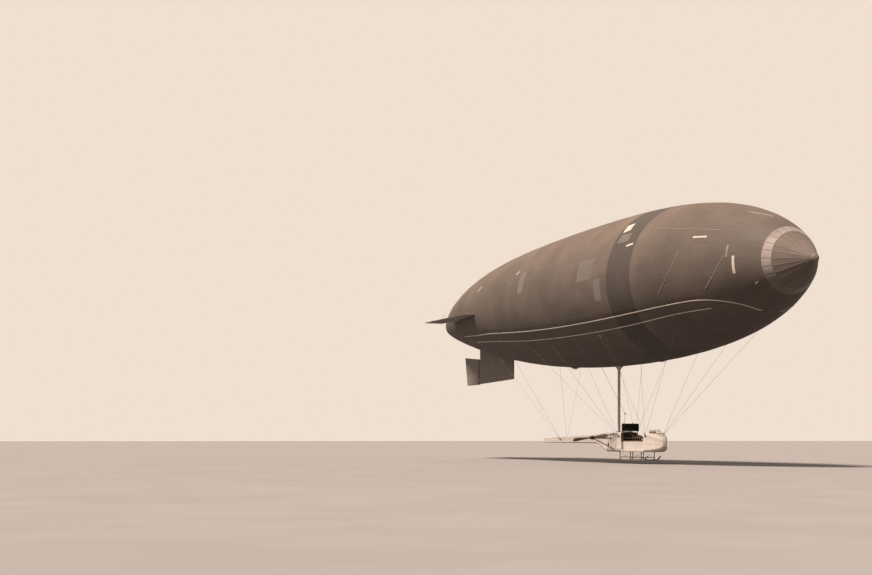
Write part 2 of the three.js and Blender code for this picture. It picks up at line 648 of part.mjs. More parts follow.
function addEngine() {
  const [inner, outer] = [BEARER.offset - BEARER.width / 2, BEARER.offset + BEARER.width / 2];
  const bearer = block(
    point(BEARER.from, inner, FLOOR.top + GAP),
    point(BEARER.to, outer, BEARER.top));
  addPiece('engine_bearer_port', bearer, 'wood');
  addPiece('engine_bearer_starboard', mirrored(bearer), 'wood');
  const { from, to, half, sump, deck, foot } = ENGINE;
  const solids = [
    block(point(from, -half, sump), point(to, half, deck)),
    block(point(from, -outer, sump), point(to, outer, sump + foot)),
  ];
  for (const station of cylinderStations()) {
    const [low, high] = [deck - OVERLAP, CYLINDER.head].map((height) => point(station, 0, height));
    solids.push(rod(low, high, mm(CYLINDER.radius), 12));
  }
  const [fore, aft] = [from - FLYWHEEL.length, from].map((station) => point(station, 0, FLYWHEEL.height));
  solids.push(rod(fore, aft, mm(FLYWHEEL.radius), 16));
  addPiece('engine', joined(solids), 'dark_metal');
}

function addExhaust() {
  const { from, to, height, offset, outside, outlet } = EXHAUST;
  const path = [
    point(from, -offset, height), point(to, -offset, height),
    point(to, -outside, height), point(to, -outside, outlet),
  ];
  const pipes = path.slice(1).map((end, i) => rod(path[i], end, mm(EXHAUST_PIPE.radius), 10));
  const jacket = CYLINDER.radius + GAP;
  for (const station of cylinderStations()) {
    const [start, end] = [-jacket, -offset].map((side) => point(station, side, height));
    pipes.push(rod(start, end, mm(EXHAUST_PIPE.branch), 8));
  }
  const knees = path.slice(1, 3).map((place) => {
    const knee = new THREE.SphereGeometry(mm(EXHAUST_PIPE.knee), 10, 6);
    return toSolid(knee.translate(...place.toArray()));
  });
  addPiece('exhaust', joined([...pipes, ...knees]), 'steel');
}

function addRadiator() {
  const { station, thick, half, bottom, top } = RADIATOR;
  const core = block(point(station - thick / 2, -half, bottom), point(station + thick / 2, half, top));
  const tank = block(
    point(station - RADIATOR_TANK.half, -RADIATOR_TANK.wide, top - RADIATOR_TANK.deep),
    point(station + RADIATOR_TANK.half, RADIATOR_TANK.wide, top));
  addPiece('radiator', core.add(tank), 'dark_metal');
  const { radius, offset } = RADIATOR_POST;
  const post = rod(point(station, offset, FLOOR.top + GAP), point(station, offset, bottom - GAP), mm(radius));
  addPiece('radiator_post_port', post, 'steel');
  addPiece('radiator_post_starboard', mirrored(post), 'steel');
}

// Propulsion

function addOutriggers() {
  const { offset, height } = PROP;
  const { from, to, radius } = GEARBOX;
  const { from: fore, to: aft, bottom, top, thick } = OUTRIGGER_PAD;
  const wall = Math.max(...REAR_SECTIONS.map((row) => row[1]));
  const solids = [block(point(fore, wall - OVERCUT, bottom), point(aft, wall + thick, top))];
  const end = point(OUTRIGGER_END, offset, height);
  for (const [station, rootHeight, tubeRadius] of OUTRIGGER_TUBES) {
    solids.push(rod(point(station, wall, rootHeight), end, mm(tubeRadius)));
  }
  const body = loft(REAR_SECTIONS.map((row) => carLoop(row, -GAP)));
  const [drumFore, drumAft] = [from - OVERCUT, to + OVERCUT].map((station) => point(station, offset, height));
  const drum = rod(drumFore, drumAft, mm(radius + GAP), 16);
  const arm = joined(solids).subtract(body).subtract(drum);
  addPiece('outrigger_port', arm, 'steel');
  addPiece('outrigger_starboard', mirrored(arm), 'steel');
}

function addGearboxes() {
  const { offset, height } = PROP;
  const { from, to, radius, shaft, bore } = GEARBOX;
  const drum = rod(point(from, offset, height), point(to, offset, height), mm(radius), 16);
  const [inner, outer] = [to - bore, to + OVERCUT].map((station) => point(station, offset, height));
  const gearbox = drum.subtract(rod(inner, outer, mm(shaft) + PIN_PLAY_MM, 16));
  addPiece('gearbox_port', gearbox, 'dark_metal');
  addPiece('gearbox_starboard', mirrored(gearbox), 'dark_metal');
}

// A blade that reaches out along Y from the hub's axis
function bladeSolid() {
  return loft(BLADE_SECTIONS.map(([reach, halfChord, halfThick, pitchDeg]) => {
    const pitch = (pitchDeg * Math.PI) / 180;
    return BLADE_OUTLINE.map(([chord, thick]) => {
      const [across, through] = [chord * halfChord, thick * halfThick];
      const fore = across * Math.sin(pitch) + through * Math.cos(pitch);
      const turn = across * Math.cos(pitch) - through * Math.sin(pitch);
      return new THREE.Vector3(mm(fore), mm(reach), mm(turn));
    });
  }));
}

function addPropellers() {
  const { offset, height, station, hub, hubLength } = PROP;
  const { to, shaft, engaged } = GEARBOX;
  const blade = bladeSolid();
  const halfHub = new THREE.Vector3(mm(hubLength / 2), 0, 0);
  const boss = rod(halfHub.clone().negate(), halfHub, mm(hub), 16);
  const shaftEnd = new THREE.Vector3(mm(station - to + engaged), 0, 0);
  const stub = rod(new THREE.Vector3(), shaftEnd, mm(shaft), 16);
  const rotor = joined([boss, stub, blade, blade.rotate([180, 0, 0])]);
  const place = point(station, offset, height).toArray();
  const port = rotor.rotate([PROP_REST_DEG, 0, 0]).translate(place);
  addPiece('propeller_port', port, 'wood');
  addPiece('propeller_starboard', mirrored(port), 'wood');
}

// Skids and stays

function addSkids() {
  const { offset, from, to, bottom, height, width } = SKID;
  const solids = [];
  for (const side of [-offset, offset]) {
    const line = [[from - SKID_TOE.length, SKID_TOE.rise], [from, 0], [to, 0]];
    const runner = line.map(([station, rise]) => {
      const low = bottom + rise;
      return [
        point(station, side - width / 2, low), point(station, side + width / 2, low),
        point(station, side + width / 2, low + height), point(station, side - width / 2, low + height),
      ];
    });
    solids.push(loft(runner));
    for (const station of SKID_STRUTS) {
      const [foot, head] = [bottom + height / 2, FLOOR.bottom - GAP].map((z) => point(station, side, z));
      solids.push(rod(foot, head, mm(STRUT_RADIUS)));
    }
  }
  for (const station of SKID_STRUTS) {
    const [left, right] = [-offset, offset].map((side) => point(station, side, SKID_CROSS.height));
    solids.push(rod(left, right, mm(SKID_CROSS.radius)));
  }
  addPiece('landing_skids', joined(solids), 'steel');
}

function addStays() {
  const lift = mm(GIRDLE.proud + STAY_RADIUS) + SEAT_GAP_MM;
  for (const [name, station, half, height, ends] of STAYS) {
    const [seat, face] = [half + GAP, half + KNOT.thick].map((side) => point(station, -side, height));
    const knotAt = point(station, -(half + KNOT.thick / 2), height);
    const solids = [rod(seat, face, mm(KNOT.radius), 12)];
    for (const end of ends) {
      const top = onBag(end, angleAlong(GIRDLE_LOWER, end), lift);
      solids.push(rod(knotAt, top, mm(STAY_RADIUS), 6));
    }
    const group = joined(solids);
    addPiece(`stays_${name}_starboard`, group, 'steel');
    addPiece(`stays_${name}_port`, mirrored(group), 'steel');
  }
}

addEnvelope();
addNose();
addGirdles();
addValves();
addDuct();
addStabilizers();
addKeelFin();
addBow();
addRear();
addMidship();
addFirewall();
addPilotPlace();
addWindscreen();
addEngine();
addExhaust();
addRadiator();
addOutriggers();
addGearboxes();
addPropellers();
addSkids();
addStays();

export default airship;
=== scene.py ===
"""Dresses the half-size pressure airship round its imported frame.

Lengths are metres of the model. +X points to the nose, +Y to port and +Z up, and the
origin is on the gas bag's axis.
"""

import json
import logging
import math
from collections.abc import Callable, Sequence
from dataclasses import dataclass
from enum import Enum
from functools import cached_property

import bmesh
import bpy
import numpy as np
from mathutils import Matrix, Vector

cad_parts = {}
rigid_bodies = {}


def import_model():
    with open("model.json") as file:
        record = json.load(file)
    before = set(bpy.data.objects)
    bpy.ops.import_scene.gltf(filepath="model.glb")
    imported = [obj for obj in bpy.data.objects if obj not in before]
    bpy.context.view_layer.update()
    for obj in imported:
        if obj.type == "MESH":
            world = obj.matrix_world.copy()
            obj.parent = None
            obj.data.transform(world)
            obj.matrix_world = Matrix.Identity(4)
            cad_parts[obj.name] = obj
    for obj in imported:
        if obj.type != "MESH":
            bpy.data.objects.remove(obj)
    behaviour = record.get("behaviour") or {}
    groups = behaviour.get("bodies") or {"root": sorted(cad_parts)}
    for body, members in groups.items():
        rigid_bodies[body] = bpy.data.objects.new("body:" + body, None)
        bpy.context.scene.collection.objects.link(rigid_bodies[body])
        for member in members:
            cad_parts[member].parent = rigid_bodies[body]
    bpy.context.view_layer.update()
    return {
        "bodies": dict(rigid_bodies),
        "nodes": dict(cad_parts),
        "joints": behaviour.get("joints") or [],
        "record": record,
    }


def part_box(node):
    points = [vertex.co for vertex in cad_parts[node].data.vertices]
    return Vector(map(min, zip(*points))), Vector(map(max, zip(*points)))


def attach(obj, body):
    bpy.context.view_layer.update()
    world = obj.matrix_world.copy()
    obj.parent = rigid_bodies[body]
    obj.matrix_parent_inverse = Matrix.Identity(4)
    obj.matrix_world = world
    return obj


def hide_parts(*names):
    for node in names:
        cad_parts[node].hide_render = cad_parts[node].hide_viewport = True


Material = bpy.types.Material
Socket = bpy.types.NodeSocket
Value = Socket | float | Sequence[float]
Number = float | np.ndarray
Colour = tuple[float, float, float]
Pair = tuple[float, float]
Route = Sequence[Pair]
Loop = list[Vector]

LOG = logging.getLogger("airship")
# The body that stays still, the station of the origin, the Z of the ground under the ship, and the
# radius that a turned shape closes at.
SHIP = "ship"
LIFT_STATION = 11.0
GROUND = -5.765
POINT = 1e-4
AHEAD, ABEAM, UP = Vector((1, 0, 0)), Vector((0, 1, 0)), Vector((0, 0, 1))


def station_x(station: Number) -> Number:
    """Return the X of a station, given in metres behind the model's nose."""
    return LIFT_STATION - station


def height_z(height: float) -> float:
    """Return the Z of a height above the ground under the ship."""
    return height + GROUND


def vec(x: float, y: float, z: float) -> Vector:
    """Return a vector."""
    return Vector((x, y, z))


def at(station: float, y: float, height: float) -> Vector:
    """Return the point at a station, a Y and a height above the ground."""
    return vec(station_x(station), y, height_z(height))


def evenly(low: float, high: float, steps: int) -> list[float]:
    """Return values in even steps from one to another, both among them."""
    return [low + (high - low) * k / steps for k in range(steps + 1)]


def middles(low: float, high: float, steps: int) -> list[float]:
    """Return the middles of even steps from one value to another."""
    return [low + (high - low) * (k + 0.5) / steps for k in range(steps)]


def around(count: int, start: float = 0.0) -> list[float]:
    """Return even angles round a circle, the first at a place counted in steps."""
    return [math.tau * (k + start) / count for k in range(count)]


def disc(
    centre: Vector, across: Vector, other: Vector, radius: float, sides: int, start: float = 0.0
) -> Loop:
    """Return points round a circle in the plane of two directions."""
    return [centre + (across * math.cos(a) + other * math.sin(a)) * radius for a in around(sides, start)]


class Side(Enum):
    """The two sides of the ship, with the sign of Y on each."""

    PORT = 1
    STARBOARD = -1

    @property
    def label(self) -> str:
        """Return the side's name as pieces and nodes spell it."""
        return self.name.lower()


class Shader:
    """One node material, built a socket at a time round a principled shader."""

    def __init__(self, name: str, inputs: dict[str, float]) -> None:
        """Start a material.

        Args:
            name: The material's name.
            inputs: Values of the principled shader, by the names of its inputs.
        """
        self.material = bpy.data.materials.new(name)
        self.material.use_nodes = True
        self.tree = self.material.node_tree
        self.surface = self.tree.nodes["Principled BSDF"]
        for key, value in inputs.items():
            self.surface.inputs[key].default_value = value
        self.place = self.add("TexCoord", {}, "Object")
        self.relief: Socket | None = None

    def feed(self, target: Socket, value: Value) -> None:
        """Link a socket to a target, or set the target's own value.

        Args:
            target: The input.
            value: A socket, a number, or the numbers of a vector or a colour.
        """
        if isinstance(value, bpy.types.NodeSocket):
            self.tree.links.new(value, target)
        elif isinstance(value, (int, float)):
            target.default_value = value
        else:
            target.default_value = (*value, 1.0)[:len(target.default_value)]

    def add(
        self, kind: str, inputs: dict[int | str, Value], output: int | str = 0, **settings: object
    ) -> Socket:
        """Add a node.

        Args:
            kind: Its type, less the words that begin the name of every such type.
            inputs: What feeds its inputs.
            output: The output that is wanted.
            settings: Its properties.

        Returns:
            The output.
        """
        node = self.tree.nodes.new(f"ShaderNode{kind}")
        for key, value in settings.items():
            setattr(node, key, value)
        for key, value in inputs.items():
            self.feed(node.inputs[key], value)
        return node.outputs[output]

    def calc(self, operation: str, *values: Value, clamp: bool = False) -> Socket:
        """Return the result of a maths operation on sockets or numbers."""
        return self.add("Math", dict(enumerate(values)), operation=operation, use_clamp=clamp)

    def parts(self, vector: Socket) -> Sequence[Socket]:
        """Split a vector into its X, Y and Z sockets."""
        return self.add("SeparateXYZ", {0: vector}).node.outputs

    def vector(self, x: Value, y: Value, z: Value) -> Socket:
        """Join three values into a vector."""
        return self.add("CombineXYZ", {0: x, 1: y, 2: z})

    def noise(self, scale: float, detail: float = 3.0, vector: Socket | None = None) -> Socket:
        """Return a noise value around 0.5, in the object's own place unless a vector is given."""
        return self.add("TexNoise", {"Vector": vector or self.place, "Scale": scale, "Detail": detail})

    def span(self, value: Socket, low: float, high: float, start: float = 0.0, end: float = 1.0) -> Socket:
        """Map a value from low..high to start..end, held at both ends."""
        inputs = dict(enumerate((value, low, high, start, end)))
        return self.add("MapRange", inputs, interpolation_type="SMOOTHSTEP")

    def blend(self, factor: Value, first: Value, second: Value, mode: str = "MIX") -> Socket:
        """Return a colour blended with as much of a second as the factor says."""
        return self.add("Mix", {0: factor, 6: first, 7: second}, 2, data_type="RGBA", blend_type=mode)

    def shade(self, colour: Value, amount: Socket) -> Socket:
        """Multiply a colour by a grey value."""
        return self.blend(1.0, colour, self.vector(amount, amount, amount), "MULTIPLY")

    def vary(self, colour: Value, value: Socket, low: float, high: float) -> Socket:
        """Multiply a colour by low to high as a noise rises from 0.3 to 0.7."""
        return self.shade(colour, self.span(value, 0.3, 0.7, low, high))

    def bump(self, height: Socket, depth: float) -> None:
        """Add a relief of a height between 0 and 1, with a depth in metres."""
        inputs = {"Distance": depth, "Height": height}
        self.relief = self.add("Bump", inputs | ({"Normal": self.relief} if self.relief else {}))

    def finish(self, colour: Socket, roughness: Socket | None = None) -> Material:
        """Link the colour, the roughness and the relief.

        Args:
            colour: The colour.
            roughness: The roughness, unless one number is enough.

        Returns:
            The material.
        """
        linked = {"Base Color": colour, "Roughness": roughness, "Normal": self.relief}
        for key, value in linked.items():
            if value is not None:
                self.feed(self.surface.inputs[key], value)
        return self.material


@dataclass(frozen=True)
class BagCloth:
    """Rubbered cotton of the gas bag, sewn in staggered panels with one dark ring, with a painted highlight
    on its top and painted shade on its fore part.
    """

    colour: Colour = (0.060, 0.047, 0.039)
    # Painted highlight: how much lighter and pinker the top of the bag is made.
    faded: Colour = (1.17, 1.08, 1.04)
    newer: Colour = (0.068, 0.056, 0.046)
    ring_colour: Colour = (0.033, 0.026, 0.023)
    seam_colour: Colour = (0.036, 0.029, 0.025)
    ring: Pair = (6.01, 7.30)
    ring_fades: Pair = (-2.25, -1.7)
    edge: float = 0.012
    radius: float = 2.46
    cone: float = 0.93
    cone_tone: float = 1.25
    # Painted shade: how much darker the bag is made towards the nose, ahead of the dark ring.
    fore_tone: float = 0.88
    panel: float = 0.56
    gores: int = 24
    seam: float = 0.007

    def material(self) -> Material:
        """Return the cloth's material.

        Returns:
            The material.
        """
        sh = Shader("bag cloth", {"Roughness": 0.82, "Specular IOR Level": 0.3})
        x, y, z = sh.parts(sh.place)
        station = sh.calc("SUBTRACT", LIFT_STATION, x)
        angle = sh.calc("ARCTAN2", y, z)
        row_place = sh.calc("DIVIDE", station, self.panel)
        row = sh.calc("FLOOR", row_place)
        stagger = sh.calc("MULTIPLY", sh.calc("MODULO", row, 2.0), 0.5)
        gore_place = sh.calc("ADD", sh.calc("MULTIPLY", angle, self.gores / math.tau), stagger)
        gore = sh.calc("FLOOR", gore_place)
        tint = sh.add("TexWhiteNoise", {"Vector": sh.vector(row, gore, 3.0)}, "Value", noise_dimensions="3D")
        colour = sh.shade(self.colour, sh.span(tint, 0.0, 1.0, 0.93, 1.05))
        # Painted highlight: the upper part of the bag is made lighter and pinker.
        upper = sh.span(sh.calc("DIVIDE", z, self.radius), 0.25, 0.9)
        colour = sh.blend(upper, colour, sh.blend(1.0, colour, self.faded, "MULTIPLY"))
        odd = sh.calc("GREATER_THAN", tint, 0.955)
        colour = sh.blend(sh.calc("MULTIPLY", odd, 0.35), colour, self.newer)
        stain = sh.noise(0.55, 6.0)
        colour = sh.vary(colour, stain, 0.82, 1.12)
        along = sh.vector(sh.calc("MULTIPLY", station, 0.5), sh.calc("MULTIPLY", angle, 24.0), 0.0)
        colour = sh.vary(colour, sh.noise(1.0, 5.0, along), 0.95, 1.04)
        # Painted shade: the bag is made darker ahead of the dark ring, where it faces forward.
        colour = sh.shade(colour, sh.span(station, 4.0, self.ring[0], self.fore_tone, 1.0))
        colour = sh.shade(colour, sh.span(station, self.cone, self.cone + 0.02, self.cone_tone, 1.0))
        start, end = (sh.span(station, place - self.edge, place + self.edge) for place in self.ring)
        in_ring = sh.calc("SUBTRACT", start, end, clamp=True)
        in_ring = sh.calc("MULTIPLY", in_ring, sh.span(z, *self.ring_fades, 0.4, 1.0))
        colour = sh.blend(in_ring, colour, sh.vary(self.ring_colour, stain, 0.85, 1.15))
        seams = self.seams(sh, row_place, gore_place)
        colour = sh.blend(sh.calc("MULTIPLY", seams, 0.22), colour, self.seam_colour)
        sh.bump(seams, 0.002)
        sh.bump(sh.noise(2.2, 4.0), 0.012)
        sh.bump(sh.noise(420.0, 2.0), 0.0004)
        return sh.finish(colour, sh.span(stain, 0.2, 0.8, 0.72, 0.9))

    def seams(self, sh: Shader, row_place: Socket, gore_place: Socket) -> Socket:
        """Return 1 on the seams between panels and 0 elsewhere.

        Args:
            sh: The material being built.
            row_place: The place along the bag, in panels.
            gore_place: The place round the bag, in gores.

        Returns:
            The seam mask.
        """
        masks = []
        for place, size in ((row_place, self.panel), (gore_place, 2.3 * math.tau / self.gores)):
            metres = sh.calc("MULTIPLY", sh.calc("PINGPONG", place, 0.5), size)
            masks.append(sh.span(metres, self.seam * 0.5, self.seam, 1.0, 0.0))
        return sh.calc("MAXIMUM", *masks)


@dataclass(frozen=True)
class Cloth:
    """Plain woven cloth, doped or raw, with stains and a weave, and where asked painted shade below."""

    name: str
    colour: Colour
    worn: Colour
    roughness: float = 0.8
    stain_scale: float = 2.5
    # Painted shade: the colour the cloth is darkened to towards the bottom, and blended halfway to at the
    # top; none for most cloths.
    grime: Colour | None = None
    contrast: float = 0.12
    weave: float = 260.0

    def material(self) -> Material:
        """Return the cloth's material.

        Returns:
            The material.
        """
        sh = Shader(self.name, {"Roughness": self.roughness, "Sheen Weight": 0.12})
        stain = sh.noise(self.stain_scale, 6.0)
        colour = sh.blend(sh.span(stain, 0.45, 0.75), self.colour, self.worn)
        # Painted shade: the cloth turns to the given colour towards the bottom, and halfway to it towards the
        # top.
        if self.grime is not None:
            z = sh.parts(sh.place)[2]
            ends = sh.calc("ADD", sh.span(z, -0.55, -0.18, 0.96, 0.0), sh.span(z, 0.5, 0.92, 0.0, 0.5))
            colour = sh.blend(ends, colour, self.grime)
        fine = sh.noise(self.stain_scale * 9.0, 4.0)
        colour = sh.vary(colour, fine, 1.0 - self.contrast, 1.0 + self.contrast)
        weft = {"Vector": sh.place, "Scale": self.weave}
        sh.bump(sh.add("TexWave", weft, "Fac", wave_type="BANDS", bands_direction="DIAGONAL"), 0.0004)
        sh.bump(sh.noise(6.0, 3.0), 0.004)
        return sh.finish(colour, sh.span(stain, 0.2, 0.8, self.roughness - 0.1, self.roughness + 0.08))


@dataclass(frozen=True)
class Metal:
    """Painted, cast or drawn metal, with oil and worn places."""

    name: str
    colour: Colour
    worn: Colour
    roughness: float = 0.45
    metallic: float = 0.8
    wear: float = 0.62
    grain: float = 40.0

    def material(self) -> Material:
        """Return the metal's material.

        Returns:
            The material.
        """
        sh = Shader(self.name, {"Roughness": self.roughness, "Metallic": self.metallic})
        patch = sh.noise(self.grain * 0.35, 8.0)
        colour = sh.blend(sh.span(patch, self.wear, self.wear + 0.08), self.colour, self.worn)
        colour = sh.vary(colour, sh.noise(self.grain * 0.1, 5.0), 0.7, 1.1)
        sh.bump(sh.noise(self.grain * 4.0, 3.0), 0.0006)
        return sh.finish(colour, sh.span(patch, 0.3, 0.75, self.roughness + 0.15, self.roughness - 0.1))


@dataclass(frozen=True)
class Wood:
    """Varnished wood with the grain along X, or along Y where it is told so."""

    name: str
    colour: Colour
    dark: Colour
    along: tuple[float, float, float] = (1.0, 14.0, 14.0)

    def material(self) -> Material:
        """Return the wood's material.

        Returns:
            The material.
        """
        sh = Shader(self.name, {"Roughness": 0.4, "Coat Weight": 0.25})
        stretched = sh.add("Mapping", {"Vector": sh.place, "Scale": self.along})
        grain = sh.noise(3.0, 8.0, stretched)
        colour = sh.blend(sh.span(grain, 0.35, 0.65), self.colour, self.dark)
        colour = sh.vary(colour, sh.noise(2.0, 3.0), 0.85, 1.1)
        sh.bump(grain, 0.0008)
        return sh.finish(colour, sh.span(grain, 0.3, 0.7, 0.35, 0.55))


@dataclass(frozen=True)
class ClearPane:
    """Thin clear pane with a film of dust."""

    tint: Colour = (0.82, 0.84, 0.78)

    def material(self) -> Material:
        """Return the pane's material.

        Returns:
            The material.
        """
        sh = Shader("clear pane", {"Roughness": 0.08, "Transmission Weight": 0.9, "IOR": 1.1})
        dust = sh.noise(14.0, 5.0)
        colour = sh.shade(self.tint, sh.span(dust, 0.3, 0.8, 1.0, 0.85))
        return sh.finish(colour, sh.span(dust, 0.4, 0.9, 0.06, 0.3))


@dataclass(frozen=True)
class Leather:
    """Dark brown leather with a pebbled grain and rubbed places."""

    colour: Colour = (0.055, 0.028, 0.016)
    rubbed: Colour = (0.13, 0.075, 0.045)

    def material(self) -> Material:
        """Return the leather's material.

        Returns:
            The material.
        """
        sh = Shader("leather", {"Roughness": 0.5})
        pebbles = {"Vector": sh.place, "Scale": 420.0}
        grain = sh.add("TexVoronoi", pebbles, "Distance", feature="DISTANCE_TO_EDGE")
        wear = sh.noise(9.0, 5.0)
        colour = sh.blend(sh.span(wear, 0.52, 0.7), self.colour, self.rubbed)
        sh.bump(grain, 0.0012)
        sh.bump(sh.noise(28.0, 3.0), 0.003)
        return sh.finish(colour, sh.span(wear, 0.3, 0.7, 0.38, 0.6))


Finish = BagCloth | Cloth | Metal | Wood | ClearPane | Leather


class Look(Enum):
    """Every finish of the ship, with the record's slot that its pieces fill."""

    BAG = "envelope_fabric", BagCloth()
    NOSE = "nose_fabric", Cloth("nose cloth", (0.074, 0.060, 0.050), (0.060, 0.048, 0.040), 0.8, 1.6)
    # The pale ring is darkened to the bag's colour on its lower part as painted shade, and blended halfway to
    # it at the top.
    NOSE_RING = "nose_ring_fabric", Cloth(
        "pale ring cloth", (0.136, 0.112, 0.103), (0.102, 0.083, 0.075), 0.8, 3.0, BagCloth.colour)
    TAPE = "girdle_tape", Cloth("girdle tape", (0.31, 0.27, 0.235), (0.24, 0.205, 0.18), 0.85, 2.0)
    MARK = "envelope_fabric", Cloth("white patch", (0.266, 0.235, 0.211), (0.211, 0.184, 0.165), 0.85, 3.0)
    PATCH = "envelope_fabric", Cloth("brown patch", (0.048, 0.038, 0.031), (0.044, 0.035, 0.028), 0.85, 3.0)
    DARK_CLOTH = "duct_fabric", Cloth("duct cloth", (0.348, 0.290, 0.254), (0.261, 0.217, 0.189), 0.85, 3.0)
    SEAM_TAPE = "envelope_fabric", Cloth(
        "seam tape", (0.115, 0.092, 0.078), (0.095, 0.076, 0.064), 0.85, 3.0)
    LASHING = "girdle_tape", Cloth("lashing rope", (0.17, 0.145, 0.122), (0.125, 0.105, 0.09), 0.85, 6.0)
    VALVE = "valve", Cloth("valve cloth", (0.040, 0.032, 0.027), (0.058, 0.047, 0.040), 0.85, 3.0)
    FIN = "fin_fabric", Cloth("fin cloth", (0.084, 0.067, 0.056), (0.066, 0.053, 0.044), 0.8, 1.4)
    FIN_TAPE = "fin_fabric", Cloth("fin tape", (0.098, 0.079, 0.066), (0.081, 0.064, 0.054), 0.8, 2.0)
    CAR = "car_fabric", Cloth("car cloth", (0.338, 0.308, 0.284), (0.282, 0.254, 0.228), 0.7, 1.8)
    CAR_TAPE = "car_fabric", Cloth("car tape", (0.291, 0.266, 0.242), (0.244, 0.221, 0.200), 0.75, 3.0)
    LEATHER = "leather", Leather()
    IRON = "dark_metal", Metal("dark iron", (0.022, 0.018, 0.015), (0.09, 0.075, 0.06), 0.5, 0.7)
    ALLOY = "dark_metal", Metal("cast alloy", (0.20, 0.185, 0.165), (0.10, 0.09, 0.078), 0.5, 0.75)
    CORE = "dark_metal", Metal("radiator core", (0.026, 0.022, 0.020), (0.07, 0.055, 0.042), 0.55, 0.6)
    STEEL = "bare_steel", Metal("steel tube", (0.075, 0.065, 0.055), (0.2, 0.18, 0.155), 0.42, 0.85)
    CAR_PAINT = "bare_steel", Metal(
        "pale painted plate", (0.300, 0.273, 0.245), (0.160, 0.142, 0.125), 0.45, 0.0)
    RUST = "bare_steel", Metal("burnt pipe", (0.045, 0.030, 0.022), (0.028, 0.022, 0.018), 0.65, 0.5)
    COPPER = "dark_metal", Metal("copper pipe", (0.11, 0.070, 0.052), (0.065, 0.050, 0.042), 0.35, 0.9)
    BRASS = "bare_steel", Metal("brass", (0.33, 0.22, 0.085), (0.14, 0.09, 0.04), 0.35, 0.9)
    CABLE = "stay_wire", Metal("stay cable", (0.14, 0.125, 0.11), (0.24, 0.22, 0.2), 0.5, 0.8)
    RUBBER = "rubber_cord", Cloth("braided rubber", (0.030, 0.024, 0.020), (0.05, 0.04, 0.033), 0.7, 8.0)
    WOOD = "varnished_wood", Wood("varnished ash", (0.135, 0.092, 0.062), (0.080, 0.054, 0.036))
    BLADE = "varnished_wood", Wood(
        "dark blade wood", (0.030, 0.023, 0.018), (0.018, 0.014, 0.011), (14.0, 1.0, 14.0))
    PANE = "clear_pane", ClearPane()

    def __init__(self, slot: str, finish: Finish) -> None:
        """Keep the slot and the finish.

        Args:
            slot: The record's material slot.
            finish: What makes the material.
        """
        self.slot, self.finish = slot, finish

    @cached_property
    def material(self) -> Material:
        """Return the material, made once."""
        return self.finish.material()


def bolt_head(radius: float) -> Route:
    """Return the profile of a bolt's head, as distances from its seat and radii."""
    return (0.0, radius), (radius, radius * 0.9), (radius * 1.1, POINT)


